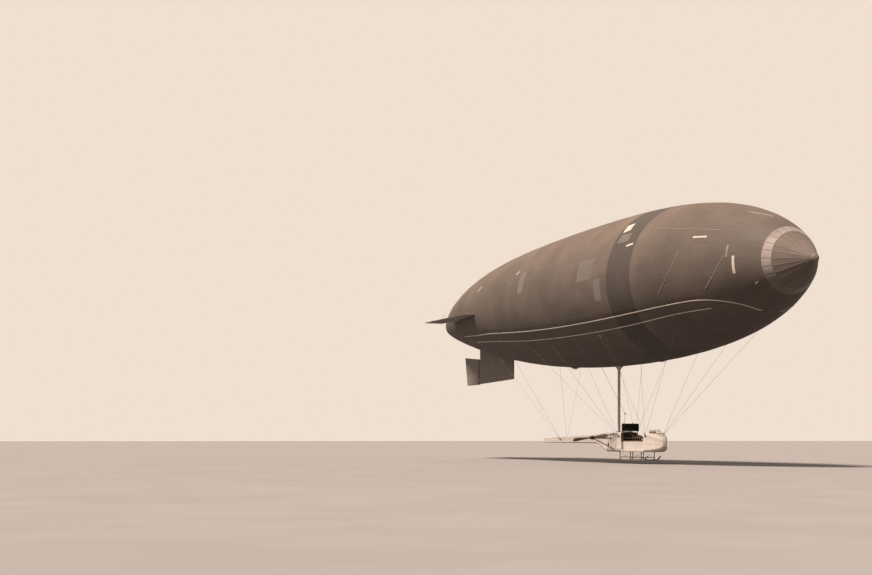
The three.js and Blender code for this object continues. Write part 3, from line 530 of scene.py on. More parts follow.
class Form:
    """Vertices and faces gathered into one mesh."""

    def __init__(self) -> None:
        """Start with nothing."""
        self.points: list[tuple[float, float, float]] = []
        self.faces: list[tuple[int, ...]] = []

    def loft(self, loops: Sequence[Loop], capped: bool = True, joined: bool = False) -> None:
        """Skin over closed loops of points that all have the same count.

        Args:
            loops: The loops, in order.
            capped: Whether the first and last loops are filled.
            joined: Whether the last loop joins the first instead.
        """
        base, rows, count = len(self.points), len(loops), len(loops[0])
        self.points += [tuple(p) for loop in loops for p in loop]
        for row in range(rows if joined else rows - 1):
            here, after = base + row * count, base + (row + 1) % rows * count
            for i in range(count):
                j = (i + 1) % count
                self.faces.append((here + i, here + j, after + j, after + i))
        if capped and not joined:
            end = base + (rows - 1) * count
            self.faces.append(tuple(base + i for i in reversed(range(count))))
            self.faces.append(tuple(end + i for i in range(count)))

    def grid(self, rows: Sequence[Loop], thickness: float, normal: Callable[[Vector], Vector]) -> None:
        """Add a thin closed sheet that follows rows of points.

        Args:
            rows: Rows of points across the sheet's outer face.
            thickness: How far the back lies behind the face.
            normal: The outward direction at a point.
        """
        self.loft([[*row, *(p - normal(p) * thickness for p in reversed(row))] for row in rows])

    def tube(self, path: Sequence[Vector], radius: float | Sequence[float], sides: int = 10) -> None:
        """Add a round tube along a path.

        Args:
            path: The points of its centre line.
            radius: Its radius, or one for each point.
            sides: How many sides it has.
        """
        radii = [radius] * len(path) if isinstance(radius, (int, float)) else radius
        along = (path[1] - path[0]).normalized()
        across = along.orthogonal().normalized()
        loops = []
        for i, place in enumerate(path):
            onward = path[min(i + 1, len(path) - 1)] - path[max(i - 1, 0)]
            across = (along.rotation_difference(onward) @ across).normalized()
            along = onward.normalized()
            loops.append(disc(place, across, along.cross(across), radii[i], sides))
        self.loft(loops)

    def closed_tube(self, path: Sequence[Vector], radius: float, sides: int) -> None:
        """Add a round tube along a level path that closes on itself.

        Args:
            path: The points of its centre line.
            radius: Its radius.
            sides: How many sides it has.
        """
        after = [*path[1:], path[0]]
        outs = [(b - a).cross(UP).normalized() for a, b in zip([path[-1], *path], after)]
        self.loft([disc(p, out, UP, radius, sides) for p, out in zip(path, outs)], joined=True)

    def block(self, low: Vector, high: Vector, bevel: float = 0.0) -> None:
        """Add a block with bevelled edges between two corners.

        Args:
            low: Its lowest corner.
            high: Its highest corner.
            bevel: The width of the bevel on all its edges.
        """
        b = min(bevel, *(0.45 * abs(high[i] - low[i]) for i in range(3)))
        loops = []
        for z, inset in ((low.z, b), (low.z + b, 0.0), (high.z - b, 0.0), (high.z, b)):
            x0, x1, y0, y1 = low.x + inset, high.x - inset, low.y + inset, high.y - inset
            corners = (
                (x0 + b, y0), (x1 - b, y0), (x1, y0 + b), (x1, y1 - b),
                (x1 - b, y1), (x0 + b, y1), (x0, y1 - b), (x0, y0 + b))
            loops.append([vec(x, y, z) for x, y in corners])
        self.loft(loops)

    def lathe(
        self, profile: Route, origin: Vector, axis: Vector, sides: int = 24, core: float = 0.001
    ) -> None:
        """Add a turned solid.

        Args:
            profile: Distances along the axis and radii.
            origin: Where the axis starts.
            axis: The axis's direction.
            sides: How many sides it has.
            core: The radius that its flat ends run in to, or 0 where the profile has its own.
        """
        if core:
            profile = [(profile[0][0], core), *profile, (profile[-1][0], core)]
        axis = axis.normalized()
        across = axis.orthogonal().normalized()
        other = axis.cross(across)
        self.loft([disc(origin + axis * along, across, other, max(r, POINT), sides) for along, r in profile])

    def ring(
        self, centre: Vector, axis: Vector, radius: float, thick: float, steps: int = 48, sides: int = 8
    ) -> None:
        """Add a round hoop.

        Args:
            centre: Its middle.
            axis: The direction through it.
            radius: The radius of its centre line.
            thick: The radius of its wire.
            steps: How many steps there are round it.
            sides: How many sides the wire has.
        """
        axis = axis.normalized()
        across = axis.orthogonal().normalized()
        outs = disc(Vector(), across, axis.cross(across), 1.0, steps)
        self.loft([disc(centre + out * radius, out, axis, thick, sides) for out in outs], joined=True)

    def fan(self, tip: Vector, first: int, count: int) -> None:
        """Close a ring of points with a fan of triangles round a tip.

        Args:
            tip: The point that the triangles meet at.
            first: The number of the ring's first point.
            count: How many points the ring has.
        """
        self.points.append(tuple(tip))
        peak = len(self.points) - 1
        self.faces += [(peak, first + i, first + (i + 1) % count) for i in range(count)]

    def bolt(self, seat: Vector, axis: Vector, radius: float) -> None:
        """Add a six-sided bolt head."""
        self.lathe(bolt_head(radius), seat, axis, 6, 0)

    def heads(
        self, profile: Route, centre: Vector, axis: Vector, reach: float, count: int, start: float = 0.0
    ) -> None:
        """Add a circle of six-sided heads.

        Args:
            profile: A head's distances from its seat and radii.
            centre: The circle's middle.
            axis: The heads' direction, along X, Y or Z.
            reach: The circle's radius.
            count: How many heads there are.
            start: The first head's place, in steps.
        """
        first, second = (way for way in (AHEAD, ABEAM, UP) if not way.dot(axis))
        for seat in disc(centre, first, second, reach, count, start):
            self.lathe(profile, seat, axis, 6, 0)

    def shell(
        self,
        outer: Sequence[Loop],
        inner: Sequence[Loop],
        is_open: Callable[[int, int], bool],
        capped_row: int,
    ) -> None:
        """Add a wall with a thickness, left open at one end and where it is told to be.

        Args:
            outer: The loops of its outside.
            inner: The loops of its inside, matched to the outer ones.
            is_open: Whether the cell at a row and a place is open.
            capped_row: The loops that are closed, 0 for the first ones and else the last.
        """
        base, rows, count = len(self.points), len(outer), len(outer[0])
        self.points += [tuple(p) for loops in (outer, inner) for loop in loops for p in loop]

        def number(layer: int, row: int, place: int) -> int:
            """Return a point's number."""
            return base + (layer * rows + row) * count + place % count

        def closed(row: int, place: int) -> bool:
            """Return whether a cell is skinned."""
            return 0 <= row < rows - 1 and not is_open(row, place % count)

        for row, i in ((row, i) for row in range(rows - 1) for i in range(count) if closed(row, i)):
            corners = [(row, i), (row, i + 1), (row + 1, i + 1), (row + 1, i)]
            self.faces.append(tuple(number(0, *c) for c in corners))
            self.faces.append(tuple(number(1, *c) for c in reversed(corners)))
            beside = [(row - 1, i), (row, i + 1), (row + 1, i), (row, i - 1)]
            for k, (next_row, place) in enumerate(beside):
                at_cap = next_row < 0 if capped_row == 0 else next_row > rows - 2
                if not closed(next_row, place) and not at_cap:
                    a, b = corners[k], corners[(k + 1) % 4]
                    self.faces.append((number(0, *b), number(0, *a), number(1, *a), number(1, *b)))
        for layer in (0, 1):
            self.faces.append(tuple(number(layer, capped_row and rows - 1, i) for i in range(count)))

    def turned(self, matrix: Matrix) -> "Form":
        """Return a copy moved by a matrix.

        Args:
            matrix: Where the form goes.

        Returns:
            The copy.
        """
        other = Form()
        other.points, other.faces = [tuple(matrix @ Vector(p)) for p in self.points], list(self.faces)
        return other

    def on(self, side: Side, own: Side) -> "Form":
        """Return the form on a side of the ship, given the side that it was made for.

        Args:
            side: The side that it is wanted on.
            own: The side that it was made for.

        Returns:
            The form, or its mirror image for the other side.
        """
        if side is own:
            return self
        other = Form()
        other.points = [(x, -y, z) for x, y, z in self.points]
        other.faces = [tuple(reversed(face)) for face in self.faces]
        return other

    def add(self, other: "Form") -> None:
        """Take in another form's faces.

        Args:
            other: The form that is added.
        """
        base = len(self.points)
        self.points += other.points
        self.faces += [tuple(base + i for i in face) for face in other.faces]

    def object(self, name: str) -> bpy.types.Object:
        """Return a new object in the scene with the form as its mesh.

        Args:
            name: The object's name.

        Returns:
            The new object.
        """
        mesh = bpy.data.meshes.new(name)
        mesh.from_pydata(self.points, [], self.faces)
        new = bpy.data.objects.new(name, mesh)
        bpy.context.scene.collection.objects.link(new)
        return new

    def piece(
        self, name: str, look: Look, *nodes: str, body: str = SHIP, smooth: float = 40.0, slot: str = ""
    ) -> bpy.types.Object:
        """Make the object and tell the frame what it rides on.

        Args:
            name: The piece's name.
            look: Its finish.
            nodes: The nodes that it stands for.
            body: The body that it rides on.
            smooth: Edges that turn by less than this many degrees are smoothed.
            slot: The record's material slot, where it isn't the finish's own; not used.

        Returns:
            The object.
        """
        new = self.object(name)
        mesh = new.data
        outward(mesh)
        mesh.materials.append(look.material)
        mesh.polygons.foreach_set("use_smooth", [True] * len(mesh.polygons))
        mesh.set_sharp_from_angle(angle=math.radians(smooth))
        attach(new, body)
        if nodes:
            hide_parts(*nodes)
        LOG.info("%s: %d faces", name, len(mesh.polygons))
        return new


def outward(mesh: bpy.types.Mesh) -> None:
    """Turn every face of a mesh outwards.

    Args:
        mesh: The mesh that is changed.
    """
    work = bmesh.new()
    work.from_mesh(mesh)
    bmesh.ops.recalc_face_normals(work, faces=work.faces)
    work.to_mesh(mesh)
    work.free()


def carve(target: bpy.types.Object, cutter: Form) -> None:
    """Cut a form out of an object's mesh.

    Args:
        target: The object that is cut.
        cutter: The shape that is taken out.
    """
    tool = cutter.object("cutter")
    outward(tool.data)
    cut = target.modifiers.new("cut", "BOOLEAN")
    cut.operation, cut.solver, cut.object = "DIFFERENCE", "EXACT", tool
    shaped = bpy.data.meshes.new_from_object(target.evaluated_get(bpy.context.evaluated_depsgraph_get()))
    target.modifiers.clear()
    target.data = shaped
    bpy.data.objects.remove(tool)


@dataclass(frozen=True)
class Flange:
    """A turned plate with a circle of bolts on it."""

    profile: Route
    sides: int
    seat: float
    reach: float
    bolts: int
    size: float
    start: float = 0.5
    core: float = 0.001

    def put(self, form: Form, place: Vector, axis: Vector) -> None:
        """Add the plate to a form.

        Args:
            form: What it is added to.
            place: The middle of its foot.
            axis: The way it faces, along X, Y or Z.
        """
        form.lathe(self.profile, place, axis, self.sides, self.core)
        form.heads(bolt_head(self.size), place + axis * self.seat, axis, self.reach, self.bolts, self.start)


@dataclass(frozen=True)
class BagShape:
    """The gas bag's outline of revolution, on a centre line that arches a little."""

    length: float = 25.9
    radius: float = 2.462
    nose_power: float = 0.968
    tail_power: float = 0.677
    fullness: tuple[float, ...] = (-4.197, 4.978, -2.359)
    fullest: float = 0.38514
    arch: tuple[float, ...] = (1.826, -7.627, 8.734)

    def swell(self, t: Number) -> Number:
        """Return the outline before scaling, at a share of the length."""
        a, b, c = self.fullness
        return t**self.nose_power * (1 - t) ** self.tail_power * np.exp(a * t + b * t**2 + c * t**3)

    def radius_at(self, station: Number) -> Number:
        """Return the radius at a station behind the nose."""
        t = np.clip(np.asarray(station) / self.length, 1e-9, 1 - 1e-9)
        return self.radius * self.swell(t) / self.swell(self.fullest)

    def rise_at(self, station: Number) -> Number:
        """Return how far the centre line stands above the axis at a station.

        Args:
            station: Metres from the nose.

        Returns:
            The height.
        """
        t = np.clip(np.asarray(station) / self.length, 0.0, 1.0)
        a, b, c = self.arch
        return t * (1 - t) * (a + b * t + c * t**2)

    def point(self, station: float, degrees: float, side: Side = Side.STARBOARD, lift: float = 0.0) -> Vector:
        """Return a point on the bag.

        Args:
            station: Metres behind the nose.
            degrees: The angle above the horizontal plane through the axis.
            side: Which side of the ship.
            lift: How far off the cloth.

        Returns:
            The point.
        """
        radius, angle = float(self.radius_at(station)) + lift, math.radians(degrees)
        z = float(self.rise_at(station)) + radius * math.sin(angle)
        return vec(station_x(station), side.value * radius * math.cos(angle), z)

    def normal(self, place: Vector) -> Vector:
        """Return the outward direction at a point near the bag.

        Args:
            place: A point on the bag.

        Returns:
            The direction.
        """
        station, step = station_x(place.x), 0.02
        slope = float(self.radius_at(station + step) - self.radius_at(station - step)) / (2 * step)
        out = vec(0, place.y, place.z - float(self.rise_at(station))).normalized()
        return (out + vec(slope, 0, 0)).normalized()


BAG = BagShape()


def smooth_through(places: Sequence[float], values: Sequence[float], place: float) -> float:
    """Return a value on a smooth curve through points that never overshoots them.

    Args:
        places: The points' places, rising.
        values: The value at each place.
        place: Where the value is wanted.

    Returns:
        The curve's value.
    """
    x, y = np.asarray(places, float), np.asarray(values, float)
    h = np.diff(x)
    slope = np.diff(y) / h
    ease = np.concatenate(([slope[0]], np.zeros(len(x) - 2), [slope[-1]]))
    for i in range(1, len(x) - 1):
        fore, aft = slope[i - 1], slope[i]
        if fore * aft > 0:
            a, b = 2 * h[i] + h[i - 1], h[i] + 2 * h[i - 1]
            ease[i] = (a + b) / (a / fore + b / aft)
    i = int(np.clip(np.searchsorted(x, place) - 1, 0, len(h) - 1))
    t = float(np.clip((place - x[i]) / h[i], 0, 1))
    bend = (2 * t**3 - 3 * t**2 + 1) * y[i] + (3 * t**2 - 2 * t**3) * y[i + 1]
    return float(bend + h[i] * ((t**3 - 2 * t**2 + t) * ease[i] + (t**3 - t**2) * ease[i + 1]))


def on_route(route: Route, station: float) -> float:
    """Return the angle at a station of a route on the bag."""
    return smooth_through(*zip(*route), station)


@dataclass
class Girdles:
    """The pale tapes round the flanks that carry the stays."""

    upper: Route = (
        (2.0, -77), (2.065, -63), (2.235, -52), (2.49, -44), (2.8, -38.2), (3.15, -34.3), (3.6, -31.6),
        (4.3, -30), (5.5, -29), (8.5, -28.4), (15, -28), (17, -28.4), (19.25, -31.7), (21.25, -36))
    lower: Route = (
        (3.09, -44.2), (3.55, -41.7), (4.15, -39.6), (4.8, -38.5), (7, -38), (11.5, -37.2),
        (15.5, -37.3), (17.5, -38.4), (19.8, -42.8))
    width: float = 0.030
    proud: float = 0.006
    root: float = 0.012
    steps: int = 220
    closer_fore: float = 1.8

    def build(self) -> None:
        """Make the four tapes."""
        for name, route in (("upper", self.upper), ("lower", self.lower)):
            form = self.tape(route)
            for side in reversed(Side):
                node = f"{name}_{side.label}"
                whole = form.on(side, Side.STARBOARD)
                whole.piece(f"tape_{node}", Look.TAPE, f"girdle_{node}")

    def tape(self, route: Route) -> Form:
        """Return one tape on the starboard side.

        Args:
            route: The tape's stations and angles.

        Returns:
            The tape.
        """
        start, end = route[0][0], route[-1][0]
        shares = evenly(0, 1, self.steps)
        stations = [start + (end - start) * share**self.closer_fore for share in shares]
        centre = [BAG.point(station, on_route(route, station)) for station in stations]
        loops = []
        for i, place in enumerate(centre):
            along = centre[min(i + 1, self.steps)] - centre[max(i - 1, 0)]
            out = BAG.normal(place)
            across = along.cross(out).normalized() * (self.width / 2)
            crown, root = out * self.proud, out * -self.root
            half = ((1, root), (1, crown * 0.5), (0.6, crown))
            loops.append([
                *(place - across * part + rise for part, rise in half),
                *(place + across * part + rise for part, rise in reversed(half))])
        form = Form()
        form.loft(loops)
        return form


@dataclass
class GasBag:
    """The bag's cloth, drawn flat between the nose battens and in at the tapes."""

    girdles: Girdles
    rings: int = 230
    gores: int = 288
    battens: int = 24
    flat_until: float = 1.02
    ripple: float = 0.0022
    ripple_from: float = 1.4
    dent: float = 0.012
    dent_width: float = 0.08
    dent_start: float = 0.3

    def build(self) -> None:
        """Make the bag."""
        stations = (1 - np.cos(np.pi * (np.arange(1, self.rings) / self.rings))) / 2 * BAG.length
        station, angle = stations[:, None], (np.arange(self.gores) * math.tau / self.gores)[None, :]
        radius = np.asarray(BAG.radius_at(stations))[:, None] * np.ones_like(angle)
        half = math.pi / self.battens
        mid_gore = np.abs(np.mod(angle + half, 2 * half) - half) - half
        taut = 1 / (1 + np.exp((station - self.flat_until) / 0.05))
        radius *= 1 - taut * (1 - np.cos(half) / np.cos(mid_gore))
        calm = 1 / (1 + np.exp((self.ripple_from - station) / 0.2))
        wave = np.sin(station * 5.1 + np.sin(angle * 3) * 2) * np.sin(angle * 7 + station)
        radius += calm * self.ripple * wave
        radius -= self.dents(stations, angle, radius)
        xs = station_x(stations)[:, None] * np.ones_like(radius)
        rise = np.asarray(BAG.rise_at(stations))[:, None]
        points = np.stack([xs, radius * np.sin(angle), rise - radius * np.cos(angle)], axis=-1)
        form = Form()
        form.loft([[Vector(p) for p in ring] for ring in points], capped=False)
        for end, first in ((0.0, 0), (BAG.length, (self.rings - 2) * self.gores)):
            form.fan(vec(station_x(end), 0, 0), first, self.gores)
        form.piece("gas_bag", Look.BAG, "envelope", smooth=60.0)

    def dents(self, stations: np.ndarray, angle: np.ndarray, radius: np.ndarray) -> np.ndarray:
        """Return how far the tapes draw the cloth in.

        Args:
            stations: The stations of the rings.
            angle: The angles round the bag, from its lowest line.
            radius: The radius at each ring and angle.

        Returns:
            The depth at each ring and angle.
        """
        level = np.degrees(np.arctan2(-np.cos(angle), np.abs(np.sin(angle))))
        depth = np.zeros_like(radius)
        for route in (self.girdles.upper, self.girdles.lower):
            line = np.array([on_route(route, s) for s in stations])[:, None]
            within = ((stations > route[0][0] + self.dent_start) & (stations < route[-1][0]))[:, None]
            metres = np.radians(level - line) * radius
            depth += within * self.dent * np.exp(-((metres / self.dent_width) ** 2))
        return depth


@dataclass(frozen=True)
class Patch:
    """A doubling glued on the bag: its middle, its size and its turn."""

    name: str
    station: float
    degrees: float
    along: float
    width: float
    look: Look
    turn: float = 0.0
    lift: float = 0.004
    glued: float = 0.012

    def form(self, side: Side = Side.STARBOARD) -> Form:
        """Return the patch as a thin sheet on the bag.

        Args:
            side: The side of the ship.

        Returns:
            The sheet.
        """
        steps = max(4, round(max(self.along, self.width) / 0.06))
        radius = float(BAG.radius_at(self.station))
        c, s = math.cos(math.radians(self.turn)), math.sin(math.radians(self.turn))
        rows = []
        for i in range(steps + 1):
            row = []
            for j in range(steps + 1):
                u, v = (i / steps - 0.5) * self.along, (j / steps - 0.5) * self.width
                forward, up = u * c - v * s, u * s + v * c
                edge = 0.5 if i in (0, steps) or j in (0, steps) else 1.0
                degrees = self.degrees + math.degrees(up / radius)
                row.append(BAG.point(self.station - forward, degrees, side, self.lift * edge))
            rows.append(row)
        sheet = Form()
        sheet.grid(rows, self.lift + self.glued, BAG.normal)
        return sheet


@dataclass
class BagTrims:
    """Patches, doublings and lashed lines on the bag's flanks."""

    patches: tuple[Patch, ...] = (
        Patch("patch_upper", 6.99, 43.4, 0.36, 0.34, Look.MARK, 12.0, 0.006),
        Patch("doubling_upper", 6.82, 32.6, 0.62, 0.34, Look.PATCH, 0.0, 0.004),
        Patch("streak_upper", 6.31, 25.0, 0.34, 0.07, Look.MARK, 8.0, 0.007),
        Patch("dash_fore", 3.16, 26.1, 0.50, 0.055, Look.MARK, 3.0, 0.006),
        Patch("dash_upright", 1.91, -4.8, 0.075, 0.50, Look.MARK, 0.0, 0.006),
        Patch("dash_low", 1.43, -35.3, 0.10, 0.03, Look.MARK, 20.0, 0.005),
        Patch("panel_wide", 8.69, 11.8, 0.96, 0.70, Look.PATCH, 0.0, 0.003),
        Patch("panel_slim", 7.87, -5.8, 0.40, 0.70, Look.PATCH, 0.0, 0.003),
        Patch("panel_aft", 13.66, 15.5, 0.46, 0.80, Look.PATCH, 0.0, 0.003),
        Patch("mark_mid", 14.34, 26.5, 0.26, 0.06, Look.MARK, 25.0, 0.007),
        Patch("mark_aft", 18.40, 23.8, 0.40, 0.06, Look.MARK, 25.0, 0.006),
        Patch("streak_bow", 2.12, 11.3, 0.05, 0.36, Look.SEAM_TAPE, 0.0, 0.004),
        Patch("spot_low", 8.69, -41.5, 0.075, 0.075, Look.MARK, 45.0, 0.005),
    )
    lines: tuple[tuple[Route, float], ...] = (
        (((3.81, 13.9), (4.02, 1.8), (4.35, -9.3), (4.79, -19.7)), 0.011),
        (((2.19, 6.1), (2.38, -5.2), (2.62, -15.3), (2.93, -24.5)), 0.011),
        (((8.69, -42.0), (8.81, -48.5), (8.77, -54.6)), 0.011),
    )
    seams: tuple[tuple[Route, float], ...] = (
        (((5.21, 37.0), (4.42, 35.0), (3.73, 34.05), (3.12, 34.0), (2.58, 35.1)), 0.013),
        (((2.40, 71.0), (2.11, 75.6), (1.89, 82.9), (1.75, 86.5)), 0.028),
    )
    line_steps: int = 40

    def build(self) -> None:
        """Make the patches and the lashed lines."""
        for patch in self.patches:
            patch.form().piece(patch.name, patch.look)
        self.lying(self.lines).piece("lashed_lines", Look.LASHING)
        self.lying(self.seams).piece("seam_strips", Look.SEAM_TAPE)

    def lying(self, lines: Sequence[tuple[Route, float]]) -> Form:
        """Return lines that lie on the bag, sunk in for most of their thickness.

        Args:
            lines: Each line's stations and angles, and its radius.

        Returns:
            The lines.
        """
        form = Form()
        for route, radius in lines:
            lift = min(radius * 0.4, 0.005 - radius * 0.4)
            path = []
            for share in evenly(0, 1, self.line_steps):
                place = share * (len(route) - 1)
                station, degrees = (smooth_through(range(len(route)), row, place) for row in zip(*route))
                path.append(BAG.point(station, degrees, Side.STARBOARD, lift))
            form.tube(path, radius, 8)
        return form


@dataclass
class NoseCap:
    """Stiffening battens in sleeves, the hub that joins them and the pale ring."""

    battens: int = 24
    sleeve: float = 0.009
    sunk: float = 0.02
    sleeves: Pair = (0.05, 0.895)
    ring: Pair = (0.92, 1.16)
    gap_degrees: float = 0.9
    ring_proud: float = 0.0065
    ring_thick: float = 0.016
    hub: Route = (
        (-0.06, 0.11), (0.0, 0.108), (0.014, 0.1), (0.022, 0.078), (0.034, 0.07), (0.038, 0.001))
    cap: Route = ((0.03, 0.05), (0.04, 0.048), (0.044, 0.03), (0.05, 0.026))
    stud: Route = ((0, 0.007), (0.008, 0.006), (0.009, 0.001))
    studs: tuple[float, float, int] = (0.018, 0.088, 12)

    def build(self) -> None:
        """Make the sleeves, the hub, its cap and the ring."""
        sleeves, ring, hub, cap = Form(), Form(), Form(), Form()
        step, gap = 360.0 / self.battens, self.gap_degrees / 2
        for k in range(self.battens):
            sleeves.loft(self.batten(step * k))
            ring.grid(self.segment(step * k + gap, step * (k + 1) - gap), self.ring_thick, BAG.normal)
        tip = vec(station_x(0.0), 0, 0)
        hub.lathe([(self.hub[0][0], 0.001), *self.hub], tip, AHEAD, 48, 0)
        cap.lathe(self.cap, tip, AHEAD, 32)
        seat, reach, count = self.studs
        cap.heads(self.stud, tip + AHEAD * seat, AHEAD, reach, count)
        sleeves.piece("nose_sleeves", Look.NOSE, "nose_battens", smooth=50.0)
        hub.piece("nose_hub", Look.NOSE)
        cap.piece("nose_fitting", Look.NOSE)
        ring.piece("nose_ring_cloth", Look.NOSE_RING, "nose_ring", smooth=50.0)

    def place(self, station: float, degrees: float, lift: float) -> Vector:
        """Return a point near the nose at an angle all the way round from the top."""
        return BAG.point(station, 90.0 - degrees, Side.PORT, lift)

    def batten(self, degrees: float) -> list[Loop]:
        """Return the sections of one sleeve.

        Args:
            degrees: Its angle round the nose.

        Returns:
            The sections.
        """
        stations = evenly(*self.sleeves, 18)
        loops = []
        for station in stations:
            middle = self.place(station, degrees, 0.0)
            out = BAG.normal(middle)
            beside = AHEAD.cross(out).normalized()
            at_end = station in (stations[0], stations[-1])
            half = self.sleeve * (0.75 if at_end else 1.0)
            high = half * 0.4 * (0.3 if at_end else 1.0)
            rises = ((1, -self.sunk), (0.9, high * 0.4), (0.4, high))
            loops.append([
                *(middle - beside * half * part + out * rise for part, rise in rises),
                *(middle + beside * half * part + out * rise for part, rise in reversed(rises))])
        return loops

    def segment(self, start: float, end: float) -> list[Loop]:
        """Return the rows of one doubled panel of the ring.

        Args:
            start: The angle of its first edge.
            end: The angle of its last edge.

        Returns:
            The rows of points on its face.
        """
        rows = []
        for i, station in enumerate(evenly(*self.ring, 6)):
            lift = self.ring_proud * (0.35 if i in (0, 6) else 1.0)
            lifts = [lift * (0.4 if j in (0, 8) else 1.0) for j in range(9)]
            rows.append([self.place(station, *spot) for spot in zip(evenly(start, end, 8), lifts)])
        return rows


@dataclass
class Valve:
    """A gas valve on the belly: a seat ring, a sprung lid and its guard."""

    node: str
    radius: float = 0.15
    drop: float = 0.07
    springs: int = 6
    screws: int = 16
    screw: Route = ((0, 0.006), (0.006, 0.005), (0.007, 0.001))

    def build(self) -> None:
        """Make the valve round its node's place."""
        low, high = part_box(self.node)
        centre, down, rim = vec((low.x + high.x) / 2, 0.0, low.z + self.drop), -UP, self.radius
        seat, lid, guard = Form(), Form(), Form()
        seat.lathe([
            (-0.03, rim), (0.014, rim), (0.022, rim - 0.006), (0.022, rim - 0.022), (0.01, rim - 0.03)],
            centre, down, 48, 0.01)
        seat.heads(self.screw, centre + down * 0.022, down, rim - 0.014, self.screws)
        lid.lathe([
            (0.0, 0.01), (0.0, rim - 0.034), (0.022, rim - 0.036), (0.034, rim - 0.06), (0.046, 0.05),
            (0.05, 0.012), (0.05, 0.001)], centre, down, 48, 0)
        for out in disc(Vector(), AHEAD, ABEAM, 1.0, self.springs):
            spots = ((rim - 0.02, 0.02), (rim - 0.03, 0.052), (rim * 0.4, 0.064), (0.02, 0.065))
            guard.tube([centre + out * reach + down * fall for reach, fall in spots], 0.004, 8)
        guard.lathe([(0.056, 0.024), (0.07, 0.022)], centre, down)
        seat.piece(f"{self.node}_seat", Look.VALVE, self.node)
        lid.piece(f"{self.node}_lid", Look.IRON, slot="valve")
        guard.piece(f"{self.node}_guard", Look.STEEL, slot="dark_metal")


@dataclass
class AirDuct:
    """The hooped cloth duct from the car's deck to the flared head on the belly."""

    radius: float = 0.045
    flare: float = 0.16
    flare_height: float = 0.17
    overlap: float = 0.012
    hoop_step: float = 0.13
    puff: float = 0.006
    pleats: int = 16
    pleat: float = 0.008
    collar: Route = (
        (0.0, 0.079), (0.006, 0.079), (0.008, 0.06), (0.024, 0.054), (0.024, 0.043), (0.07, 0.043))
    screws: tuple[float, float, int] = (0.006, 0.07, 10)

    def build(self) -> None:
        """Make the duct, its hoops and the collar it stands in."""
        low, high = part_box("air_duct")
        foot = vec((low.x + high.x) / 2, 0.0, low.z)
        length = BAG.point(station_x(foot.x), -90.0).z + self.overlap - foot.z
        head = length - self.flare_height
        loops = []
        for rise in evenly(0, length, 132):
            swell = self.puff * abs(math.sin(math.pi * rise / self.hoop_step)) * (1 if rise < head else 0)
            t = max(0.0, (rise - head) / self.flare_height)
            radius = self.radius - 0.002 + swell + (self.flare - self.radius) * (0.35 * t + 0.65 * t**2.2)
            centre, pleat = foot + UP * rise, t * self.pleat
            loops.append([
                centre + vec(math.cos(a), math.sin(a), 0) * (radius + pleat * math.sin(a * self.pleats))
                for a in around(96)])
        duct, hoops, flange = Form(), Form(), Form()
        duct.loft(loops)
        duct.piece("duct_cloth", Look.DARK_CLOTH, "air_duct", smooth=50.0)
        for k in range(1, int(head / self.hoop_step) + 1):
            hoops.ring(foot + UP * (k * self.hoop_step), UP, self.radius, 0.004)
        hoops.ring(foot + UP * (length - 0.03), UP, self.flare - 0.012, 0.008, 72)
        hoops.piece("duct_hoops", Look.DARK_CLOTH)
        low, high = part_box("duct_collar")
        centre = vec((low.x + high.x) / 2, 0.0, low.z)
        flange.lathe(self.collar, centre, UP, 48, 0.02)
        seat, reach, count = self.screws
        flange.heads(Valve.screw, centre + UP * seat, UP, reach, count)
        flange.piece("duct_flange", Look.IRON, "duct_collar")


